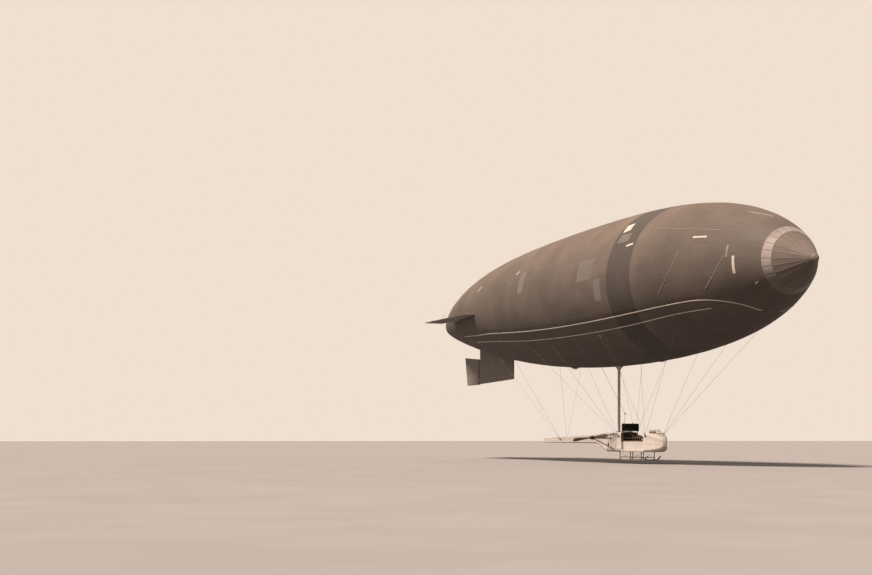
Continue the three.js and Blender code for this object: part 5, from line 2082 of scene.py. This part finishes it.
@dataclass
class Radiator:
    """The radiator across the car over the engine, on two posts."""

    fins: int = 84
    tubes: int = 9
    tank: float = 0.312
    post: float = 0.0125
    wire: float = 0.005
    steady_from: Pair = (11.28, -81.6)
    tackle_rise: float = 0.33
    foot: Flange = Flange(
        ((0, 0.026), (0.004, 0.026), (0.006, 0.015), (0.02, 0.014)), 24, 0.004, 0.021, 4, 0.0035)

    def build(self) -> None:
        """Make the frame, the tanks, the core and the posts."""
        low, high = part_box("radiator")
        middle, depth, end = (low.x + high.x) / 2, 0.025, 0.018
        frame, core, cap = Form(), Form(), Form()
        frame.loft([
            [vec(middle + dx, y, high.z - drop) for dx, drop in (
                (-0.03, 0.052), (0.03, 0.052), (0.039, 0.03), (0.034, 0.008),
                (0.018, 0.0), (-0.018, 0.0), (-0.034, 0.008), (-0.039, 0.03))]
            for y in (-self.tank, 0.012 - self.tank, self.tank - 0.012, self.tank)])
        frame.block(vec(middle - 0.028, low.y, low.z), vec(middle + 0.028, high.y, low.z + 0.03), 0.008)
        for y in (low.y, high.y - end):
            frame.block(
                vec(middle - depth, y, low.z + 0.02), vec(middle + depth, y + end, high.z - 0.04), 0.003)
        for y in middles(low.y + 0.02, high.y - 0.02, self.fins):
            corner = vec(middle - 0.021, y - 0.0007, low.z + 0.026)
            core.block(corner, vec(middle + 0.021, y + 0.0007, high.z - 0.048))
        for z in middles(low.z + 0.036, high.z - 0.058, self.tubes):
            for x in (middle - 0.012, middle, middle + 0.012):
                core.tube([vec(x, low.y + 0.016, z), vec(x, high.y - 0.016, z)], 0.003, 8)
        cap.lathe(
            [(-0.002, 0.018), (0.01, 0.018), (0.012, 0.024), (0.02, 0.024), (0.022, 0.012)],
            vec(middle, 0.1, high.z), UP, 28)
        frame.piece("radiator_frame", Look.IRON, "radiator")
        core.piece("radiator_core", Look.CORE)
        cap.piece("radiator_cap", Look.BRASS)
        for side in Side:
            self.stand(side)
        self.steady(vec(high.x - 0.02, -0.25, high.z))

    def stand(self, side: Side) -> None:
        """Make one post with its bolted ends.

        Args:
            side: Which side.
        """
        node = f"radiator_post_{side.label}"
        low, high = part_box(node)
        x, y = (low.x + high.x) / 2, (low.y + high.y) / 2
        foot, head, post = vec(x, y, low.z), vec(x, y, high.z), Form()
        post.tube([foot, head], self.post, 18)
        self.foot.put(post, foot, UP)
        self.foot.put(post, head, -UP)
        post.piece(f"radiator_stand_{side.label}", Look.STEEL, node)

    def steady(self, foot: Vector) -> None:
        """Make the taut wire from the bag's belly that steadies the radiator, with its tackle.

        Args:
            foot: The wire's lower end, on the radiator's top tank.
        """
        block = foot + vec(0.06, 0, self.tackle_rise)
        wire, tackle = Form(), Form()
        wire.tube([BAG.point(*self.steady_from, lift=0.004), block], self.wire, 8)
        for shift in (-0.008, 0.008):
            wire.tube([block + ABEAM * shift, foot + ABEAM * shift], self.wire * 0.5, 8)
        tackle.lathe([(-0.02, 0.016), (-0.012, 0.024), (0.012, 0.024), (0.02, 0.016)], block, ABEAM)
        tackle.ring(foot + UP * 0.008, AHEAD, 0.012, 0.0035, 24)
        wire.piece("radiator_steady_wire", Look.CABLE)
        tackle.piece("radiator_tackle", Look.IRON)
        pad = Patch("steady_pad", *self.steady_from, 0.16, 0.12, Look.PATCH, 30.0)
        pad.form().piece(pad.name, Look.PATCH)


@dataclass
class PilotPlace:
    """The control wheel, the bench with its cushion, the dials and the windscreen's frame."""

    rim: float = 0.12
    rim_thick: float = 0.0105
    wheel_station: float = 8.675
    wheel_height: float = 0.85
    cushion: float = 0.045
    slats: int = 6
    screen_tube: float = 0.0065
    screen_foot: float = 1.024
    board: tuple[float, float, float] = (8.46, -0.13, 1.02)
    dial_gap: float = 0.085
    foot: Flange = Flange(
        ((0, 0.045), (0.006, 0.045), (0.01, 0.024), (0.04, 0.018)), 32, 0.006, 0.036, 6, 0.0045, 0.0)

    def build(self) -> None:
        """Make the pilot's fittings."""
        self.wheel()
        self.bench()
        self.windscreen()
        self.dials()

    def wheel(self) -> None:
        """Make the wheel, its column and its brass boss."""
        centre = at(self.wheel_station, 0.0, self.wheel_height)
        wood, brass, post = Form(), Form(), Form()
        wood.ring(centre, AHEAD, self.rim, self.rim_thick, 64, 14)
        for out in disc(Vector(), ABEAM, UP, 1.0, 6):
            spots = [centre + out * reach for reach in (0.012, 0.05, 0.09, self.rim - 0.004)]
            wood.tube(spots, [0.008, 0.0055, 0.0075, 0.006], 12)
        brass.lathe([
            (-0.016, 0.001), (-0.016, 0.02), (-0.008, 0.026), (0.008, 0.026), (0.014, 0.016), (0.018, 0.012),
            (0.02, 0.001)], centre, -AHEAD, 28, 0)
        foot = vec(centre.x + 0.04, 0.0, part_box("control_wheel")[0].z)
        head = vec(foot.x, 0, centre.z)
        post.tube([foot, head + UP * 0.014], 0.0148, 20)
        self.foot.put(post, foot, UP)
        post.lathe([(-0.03, 0.021), (0.03, 0.021)], head, AHEAD)
        post.tube([head, centre], 0.011, 16)
        wood.piece("wheel_rim", Look.WOOD, "control_wheel")
        brass.piece("wheel_boss", Look.BRASS)
        post.piece("wheel_column", Look.IRON)

    def bench(self) -> None:
        """Make the bench's slatted box and its stuffed cushion."""
        low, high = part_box("bench")
        top, box, pad = high.z - self.cushion, Form(), Form()
        edges = evenly(low.x, high.x, self.slats)
        for start, end in zip(edges, edges[1:]):
            box.block(vec(start + 0.002, low.y, top - 0.016), vec(end - 0.002, high.y, top), 0.003)
        for y in (low.y, -0.012, high.y - 0.024):
            box.block(vec(low.x + 0.004, y, low.z), vec(high.x - 0.004, y + 0.024, top - 0.014), 0.003)
        box.piece("bench_frame", Look.WOOD, "bench")
        loops, half = [], self.cushion * 0.5
        for x, u in zip(evenly(low.x + 0.004, high.x - 0.004, 24), evenly(-1, 1, 24)):
            edge = math.sqrt(max(1 - u**8, 0.04))
            loop = []
            for c, s in ((math.cos(a), math.sin(a)) for a in around(56)):
                wide = (high.y - 0.006) * (0.97 + 0.03 * edge) * math.copysign(abs(c) ** 0.35, c)
                tuft = 1 - 0.14 * abs(math.cos(math.pi * wide / 0.11)) ** 8
                tall = half * edge * math.copysign(abs(s) ** 0.6, s) * (tuft if s > 0 else 1.0)
                loop.append(vec(x, wide, top + half + tall))
            loops.append(loop)
        pad.loft(loops)
        pad.piece("bench_cushion", Look.LEATHER, smooth=70.0)

    def windscreen(self) -> None:
        """Make the brass frame round the pane and its two stays."""
        low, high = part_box("windscreen")
        head, base = low.x + 0.004, height_z(self.screen_foot)
        foot = high.x - 0.004 - (high.x - low.x) * (base - low.z) / (high.z - low.z)
        corners = [vec(foot, high.y, base), vec(head, high.y, high.z)]
        corners += [vec(head, low.y, high.z), vec(foot, low.y, base)]
        frame = Form()
        frame.tube(corners, self.screen_tube, 12)
        frame.tube([corners[0], corners[3]], self.screen_tube, 12)
        for y in (high.y, low.y):
            seat = vec(foot + 0.13, y * 0.98, base - 0.004)
            frame.tube([vec(head + 0.015, y, high.z - 0.045), seat], 0.004)
            frame.lathe([(0, 0.016), (0.003, 0.016), (0.005, 0.008)], seat, UP, 16)
        frame.piece("windscreen_frame", Look.BRASS)

    def dials(self) -> None:
        """Make three dials on a board at the bow's edge."""
        board, rims, faces, corner = Form(), Form(), Form(), at(*self.board)
        board.block(corner, corner + vec(0.014, 0.26, 0.07), 0.005)
        for y in (-self.dial_gap, 0.0, self.dial_gap):
            seat = vec(corner.x, y, corner.z + 0.036)
            rims.lathe(
                [(0, 0.026), (0.012, 0.0285), (0.014, 0.026), (0.01, 0.023), (0, 0.023)],
                seat, -AHEAD, 32, 0)
            faces.lathe([(0, POINT), (0, 0.024), (0.006, 0.0235), (0.007, POINT)], seat, -AHEAD, 32, 0)
            angle, pivot = math.radians(40 + y * 900), seat - AHEAD * 0.009
            tip = vec(0, math.cos(angle), math.sin(angle))
            rims.tube([pivot - tip * 0.006, pivot + tip * 0.018], [0.0016, 0.0006], 6)
        board.piece("dial_board", Look.WOOD)
        rims.piece("dial_rims", Look.BRASS)
        faces.piece("dial_faces", Look.MARK, slot="car_fabric")


@dataclass
class Propulsion:
    """A propeller, its gearbox and its outrigger on each side."""

    offset: float = 1.05
    height: float = 0.88
    hub_station: float = 10.775
    hub_half: float = 0.035
    radius: float = 0.7
    rest_degrees: float = -7.0
    reach: tuple[float, ...] = (0.025, 0.175, 0.35, 0.5, 0.625, 0.7)
    chord: tuple[float, ...] = (0.045, 0.07, 0.10, 0.12, 0.10, 0.045)
    depth: tuple[float, ...] = (0.038, 0.024, 0.016, 0.012, 0.009, 0.006)
    pitch: tuple[float, ...] = (54.0, 38.0, 27.0, 20.0, 15.5, 13.0)
    tip_from: float = 0.66
    sheath: float = 0.0012
    sheath_from: float = 0.46
    tubes: tuple[tuple[float, float, float], ...] = (
        (10.375, 1.01, 0.015), (10.6, 0.86, 0.0225), (10.375, 0.47, 0.015))
    root: float = 0.33
    pad: tuple[float, float, float, float] = (10.3, 10.675, 0.45, 1.04)
    pad_faces: Pair = (0.3255, 0.34)
    pad_steps: int = 5
    drum: tuple[float, float, float] = (10.6, 10.73, 0.065)
    plate: Flange = Flange(((0, 0.036), (0.003, 0.036), (0.004, 0.034)), 36, 0.004, 0.027, 8, 0.0042)

    def build(self) -> None:
        """Make both sides."""
        for side in Side:
            self.propeller(side)
            self.outrigger(side)
            self.gearbox(side)

    def section(self, reach: float, grow: float = 0.0, lead_only: bool = False) -> Loop:
        """Return a blade's section.

        Args:
            reach: The distance from the hub's axis.
            grow: How far outside the wood.
            lead_only: Whether only the leading edge is wanted.

        Returns:
            The points round the section, with the blade along Y.
        """
        chord, depth, pitch = (
            smooth_through(self.reach, sizes, reach) for sizes in (self.chord, self.depth, self.pitch))
        if reach > self.tip_from:
            share = (reach - self.tip_from) / (self.radius + 0.002 - self.tip_from)
            chord *= math.sqrt(max(1 - share**2, 0.05))
        cos, sin = math.cos(math.radians(pitch)), math.sin(math.radians(pitch))
        loop = []
        for c, s in ((math.cos(a), math.sin(a)) for a in around(28)):
            along = max(0.5 * c, 0.26) if lead_only else 0.5 * c
            thick = depth * (0.35 + 0.35 * (along + 0.5)) * (1.3 if s > 0 else 0.35)
            u = along * chord + math.copysign(grow, c)
            v = math.copysign(thick * abs(s) ** 0.7 + grow, s)
            loop.append(vec(u * sin + v * cos, reach, u * cos - v * sin))
        return loop

    def propeller(self, side: Side) -> None:
        """Make a propeller: two blades in one length of wood, metal-edged tips and a bolted hub.

        Args:
            side: Which side.
        """
        name, half = f"propeller_{side.label}", self.hub_half
        wood, edges, metal, blade, edge = Form(), Form(), Form(), Form(), Form()
        blade.loft([self.section(reach) for reach in evenly(0.02, self.radius, 44)])
        reaches = evenly(self.sheath_from, self.radius - 0.001, 16)
        edge.loft([self.section(reach, self.sheath, True) for reach in reaches])
        for turn in (Matrix.Rotation(angle, 4, "X") for angle in (0.0, math.pi)):
            wood.add(blade.turned(turn))
            edges.add(edge.turned(turn))
        wood.lathe([(-half, 0.04), (-0.031, 0.045), (0.031, 0.045), (half, 0.04)], Vector(), AHEAD, 40)
        self.plate.put(metal, AHEAD * half, AHEAD)
        self.plate.put(metal, AHEAD * -half, -AHEAD)
        metal.lathe([(0, 0.014), (0.012, 0.014), (0.014, 0.009), (0.02, 0.007)], AHEAD * -half, -AHEAD)
        metal.tube([AHEAD * 0.03, AHEAD * (self.hub_station - self.drum[1] + 0.045)], 0.0195, 20)
        hub = at(self.hub_station, self.offset, self.height)
        place = Matrix.Translation(hub) @ Matrix.Rotation(math.radians(self.rest_degrees), 4, "X")
        for part, form, look, *nodes in (
                ("blades", wood, Look.BLADE, name), ("edges", edges, Look.BRASS), ("hub", metal, Look.STEEL)):
            form.turned(place).on(side, Side.PORT).piece(f"{name}_{part}", look, *nodes, body=name)

    def outrigger(self, side: Side) -> None:
        """Make the tubes and the plate that carry a gearbox.

        Args:
            side: Which side.
        """
        name, (fore, aft, drum) = side.label, self.drum
        hub = at((fore + aft) / 2 - 0.005, self.offset, self.height)
        tubes, plate = Form(), Form()
        roots = [at(station, self.root, height) for station, height, _ in self.tubes]
        for root, (_, _, radius) in zip(roots, self.tubes):
            reach = (hub - root).normalized()
            end = hub - reach * (drum + 0.001) / math.sqrt(1 - reach.x**2)
            tubes.tube([root, end], radius, 20)
            for seat, grow, length in ((root, 1.35, 0.05), (end, 1.3, -0.05)):
                spots = [seat, seat + reach * length * 0.8, seat + reach * length]
                tubes.tube(spots, [radius * grow, radius * grow, radius * 1.05], 20)
        for share in (0.35, 0.68):
            tubes.lathe(
                [(-0.012, 0.03), (-0.002, 0.032), (0.002, 0.032), (0.012, 0.03)],
                roots[1].lerp(hub, share), hub - roots[1])
        (start, end, bottom, top), (inside, outside) = self.pad, self.pad_faces
        plate.block(at(end, inside, bottom), at(start, outside, top), 0.005)
        for station in (end - 0.02, start + 0.02):
            for height in evenly(bottom + 0.04, top - 0.04, self.pad_steps):
                plate.bolt(at(station, outside, height), ABEAM, 0.0065)
        tubes.on(side, Side.PORT).piece(f"outrigger_tubes_{name}", Look.STEEL, f"outrigger_{name}")
        plate.on(side, Side.PORT).piece(f"outrigger_plate_{name}", Look.CAR_PAINT)

    def gearbox(self, side: Side) -> None:
        """Make a gearbox with a bolted flange, webs and a drain.

        Args:
            side: Which side.
        """
        fore, aft, drum = self.drum
        length, case = aft - fore, Form()
        seat = at(fore, side.value * self.offset, self.height)
        case.lathe([
            (0.0, 0.03), (0.004, 0.045), (0.008, drum - 0.004), (0.012, drum - 0.002), (0.05, drum - 0.002),
            (0.052, drum), (0.068, drum), (0.07, drum - 0.002), (length - 0.03, drum - 0.008),
            (length - 0.012, 0.045), (length - 0.008, 0.034), (length, 0.032), (length, 0.0205),
            (length - 0.03, 0.0205)], seat, -AHEAD, 44)
        case.heads(bolt_head(0.0048), seat - AHEAD * 0.052, AHEAD, drum - 0.006, 12)
        case.lathe(
            [(0, 0.01), (0.008, 0.01), (0.009, 0.007), (0.014, 0.006)],
            seat - AHEAD * 0.03 - UP * (drum - 0.004), -UP, 12)
        case.piece(f"gearbox_case_{side.label}", Look.IRON, f"gearbox_{side.label}")


@dataclass
class Skids:
    """Two bent wooden runners on steel legs."""

    offset: float = 0.25
    fore: float = 8.375
    bend: float = 8.61
    aft: float = 10.35
    bottom: float = 0.12
    deep: float = 0.03
    wide: float = 0.05
    toe: float = 0.125
    legs: tuple[float, ...] = (8.75, 9.45, 10.15)
    leg: float = 0.014
    deck: float = 0.4
    cross: float = 0.22
    braces: Pair = (0.17, 0.37)
    cord: float = 0.005
    turns: int = 5
    turn_step: float = 0.011
    head: Flange = Flange(
        ((0, 0.032), (0.005, 0.032), (0.008, 0.018), (0.024, 0.016)), 24, 0.005, 0.025, 4, 0.0042)

    def build(self) -> None:
        """Make the runners, the legs and the bindings."""
        runners, legs, binding = Form(), Form(), Form()
        bottom, top = self.braces
        for side in Side:
            y = side.value * self.offset
            runners.loft(self.runner(y))
            for station in self.legs:
                head = at(station, y, self.deck) - UP * 0.0008
                legs.tube([at(station, y, self.bottom + self.deep * 0.6), head], self.leg, 16)
                self.head.put(legs, head, -UP)
                for turn in range(self.turns):
                    x = head.x + (turn - (self.turns - 1) / 2) * self.turn_step
                    binding.loft(self.binding(x, y), joined=True)
            for first, last in zip(self.legs, self.legs[1:]):
                legs.tube([at(first, y, bottom), at(last, y, top)], 0.003, 8)
                legs.tube([at(first, y, top), at(last, y, bottom)], 0.003, 8)
        for station in self.legs:
            ends = [at(station, y, self.cross) for y in (-self.offset, self.offset)]
            legs.tube(ends, self.leg * 0.8, 14)
            for end in reversed(ends):
                legs.ring(end, UP, self.leg, 0.005, 24)
        runners.piece("skid_runners", Look.WOOD, "landing_skids")
        legs.piece("skid_legs", Look.STEEL)
        binding.piece("skid_bindings", Look.RUBBER)

    def runner(self, y: float) -> list[Loop]:
        """Return the sections of a runner, from its turned-up toe.

        Args:
            y: The runner's middle.

        Returns:
            The sections.
        """
        loops, half, c = [], self.wide / 2, 0.006
        for t in evenly(0, 1, 40):
            station = self.fore + (self.aft - self.fore) * t**1.6
            lift = self.toe * max(0.0, (self.bend - station) / (self.bend - self.fore)) ** 1.7
            low = self.bottom + lift
            high = low + self.deep
            loops.append([at(station, y + dy, height) for dy, height in (
                (-half + c, low), (half - c, low), (half, low + c), (half, high - c), (half - c, high),
                (-half + c, high), (-half, high - c), (-half, low + c))])
        return loops

    def binding(self, x: float, y: float) -> list[Loop]:
        """Return one turn of elastic cord round a runner.

        Args:
            x: Its place along the runner.
            y: The runner's middle.

        Returns:
            The sections of the cord, that close on themselves.
        """
        half, low, high = self.wide / 2, height_z(self.bottom) + 0.002, height_z(self.bottom + self.deep)
        loops = []
        for k, (cy, cz) in enumerate(((y - half, low), (y + half, low), (y + half, high), (y - half, high))):
            for s in range(3):
                a = math.radians(180 + 90 * k + 45 * s)
                out = vec(0, math.cos(a), math.sin(a))
                loops.append(disc(vec(x, cy, cz) + out * 0.002, out, AHEAD, self.cord, 8))
        return loops


@dataclass(frozen=True)
class StayGroup:
    """The stays of one plate on the car, and the stations where they reach the tape."""

    name: str
    station: float
    half: float
    height: float
    ends: tuple[float, ...]


@dataclass
class Stays:
    """The stays that hang the car from the lower tapes, each ending in a crow's foot."""

    girdles: Girdles
    groups: tuple[StayGroup, ...] = (
        StayGroup("fore", 8.375, 0.31725, 0.93, (4.25, 6.25, 8.25)),
        StayGroup("aft", 10.1, 0.32365, 0.93, (10.25, 12.25, 14.25)),
        StayGroup("tail", 14.75, 0.1218, 0.81, (16.25, 18.25)),
    )
    cable: float = 0.003
    foot_length: float = 0.42
    foot_spread: float = 0.24
    plate: Flange = Flange(
        ((0, 0.032), (0.004, 0.032), (0.006, 0.022), (0.02, 0.02), (0.026, 0.012)),
        28, 0.004, 0.027, 6, 0.0035, 0.0)

    def build(self) -> None:
        """Make the stays."""
        for group in self.groups:
            wires, fittings, pads = self.group(group)
            for side in Side:
                name = f"{group.name}_{side.label}"
                for form, part, look, *nodes in (
                        (wires, "wires", Look.CABLE, f"stays_{name}"),
                        (fittings, "fittings", Look.STEEL), (pads, "pads", Look.PATCH)):
                    form.on(side, Side.STARBOARD).piece(f"stay_{part}_{name}", look, *nodes)

    def tape(self, station: float, lift: float) -> Vector:
        """Return a point over the starboard lower tape."""
        return BAG.point(station, on_route(self.girdles.lower, station), lift=lift)

    def group(self, group: StayGroup) -> tuple[Form, Form, Form]:
        """Return one group on the starboard side.

        Args:
            group: The group.

        Returns:
            The wires, the fittings and the pads.
        """
        wires, fittings, pads = Form(), Form(), Form()
        seat = at(group.station, -group.half, group.height)
        self.plate.put(fittings, seat, -ABEAM)
        knot = seat - ABEAM * 0.016
        for end in group.ends:
            top = self.tape(end, 0.012)
            reach = (top - knot).normalized()
            fork = top - reach * self.foot_length
            wires.tube([knot + reach * 0.03, fork], self.cable, 8)
            for places, radii, sides in (
                    ((0.02, 0.05, 0.06), (0.005, 0.005, 0.0042), 10),
                    ((0.07, 0.075, 0.115, 0.12), (0.004, 0.009, 0.009, 0.004), 12)):
                fittings.tube([knot + reach * place for place in places], radii, sides)
            fittings.ring(fork, reach.cross(-ABEAM), 0.012, 0.0035, 20)
            for place in (end - self.foot_spread, end, end + self.foot_spread):
                wires.tube([fork, self.tape(place, 0.008)], self.cable * 0.73, 8)
                angle = on_route(self.girdles.lower, place)
                pads.add(Patch("pad", place, angle, 0.10, 0.12, Look.PATCH, 45.0, 0.003).form())
        return wires, fittings, pads


@dataclass
class Studio:
    """Pale floor, soft light and the camera at the photograph's view."""

    focal_pixels: float = 1347.7
    image_width: int = 872
    image_height: int = 575
    horizon_row: float = 440.0
    eye: tuple[float, float, float] = (41.066, -23.411, -4.965)
    azimuth: float = 67.836
    sensor: float = 36.0
    floor_half: float = 900.0
    floor_colour: Colour = (0.138, 0.130, 0.128)
    sun: Colour = (1.0, 0.84, 0.72)
    sun_energy: float = 12.5
    sun_degrees: float = 12.0
    sun_from: tuple[float, float, float] = (0.2, -0.46, 0.865)
    sky: Colour = (0.875, 0.745, 0.635)

    def build(self) -> None:
        """Make the floor, the lights, the sky and the camera."""
        self.floor()
        self.lights()
        self.camera()

    def floor(self) -> None:
        """Make the floor at the level of the ground under the ship."""
        form, half = Form(), self.floor_half
        form.points = [(x * half, y * half, GROUND) for x, y in ((-1, -1), (1, -1), (1, 1), (-1, 1))]
        form.faces = [(0, 1, 2, 3)]
        made = form.object("floor")
        sh = Shader("floor", {"Roughness": 0.9, "Specular IOR Level": 0.1})
        made.data.materials.append(sh.finish(sh.vary(self.floor_colour, sh.noise(0.6, 5.0), 0.96, 1.04)))

    def lights(self) -> None:
        """Make one broad key light high on the starboard bow and a pale sky."""
        key = bpy.data.lights.new("key", "SUN")
        key.energy, key.angle, key.color = self.sun_energy, math.radians(self.sun_degrees), self.sun
        made = bpy.data.objects.new("key", key)
        made.rotation_mode = "QUATERNION"
        made.rotation_quaternion = Vector(self.sun_from).to_track_quat("Z", "Y")
        bpy.context.scene.collection.objects.link(made)
        world = bpy.data.worlds.new("sky")
        world.use_nodes = True
        backdrop = world.node_tree.nodes["Background"]
        backdrop.inputs[0].default_value = (*self.sky, 1.0)
        backdrop.inputs[1].default_value = 1.0
        bpy.context.scene.world = world
        bpy.context.scene.view_settings.view_transform = "Standard"

    def camera(self) -> None:
        """Make the camera, level, with the horizon on its row of the picture."""
        data = bpy.data.cameras.new("camera")
        data.sensor_width = self.sensor
        data.lens = self.focal_pixels / self.image_width * self.sensor
        data.shift_y = (self.horizon_row - self.image_height / 2) / self.image_width
        data.clip_end = 2000.0
        made = bpy.data.objects.new("camera", data)
        made.location = self.eye
        made.rotation_euler = (math.radians(90), 0.0, math.radians(self.azimuth))
        bpy.context.scene.collection.objects.link(made)
        bpy.context.scene.camera = made


def dress_nodes(frame: dict) -> None:
    """Give each node of the frame that stays in view the first finish of its slot.
    """
    looks = {look.slot: look for look in reversed(Look)}
    for part in frame["record"]["subparts"]:
        if part["node"] in frame["nodes"]:
            materials = frame["nodes"][part["node"]].data.materials
            materials.clear()
            materials.append(looks[part["material_slot"]].material)


def main() -> None:
    """Dress the ship, piece by piece."""
    logging.basicConfig(level=logging.INFO, format="%(message)s")
    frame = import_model()
    dress_nodes(frame)
    Studio().build()
    girdles, engine = Girdles(), Engine()
    for assembly in (
            GasBag(girdles), girdles, BagTrims(), NoseCap(), Valve("valve_fore"), Valve("valve_aft"),
            AirDuct(), Tail(), Car(), engine, Exhaust(engine), Radiator(), PilotPlace(), Propulsion(),
            Skids(), Stays(girdles)):
        assembly.build()


if __name__ == "__main__":
    main()
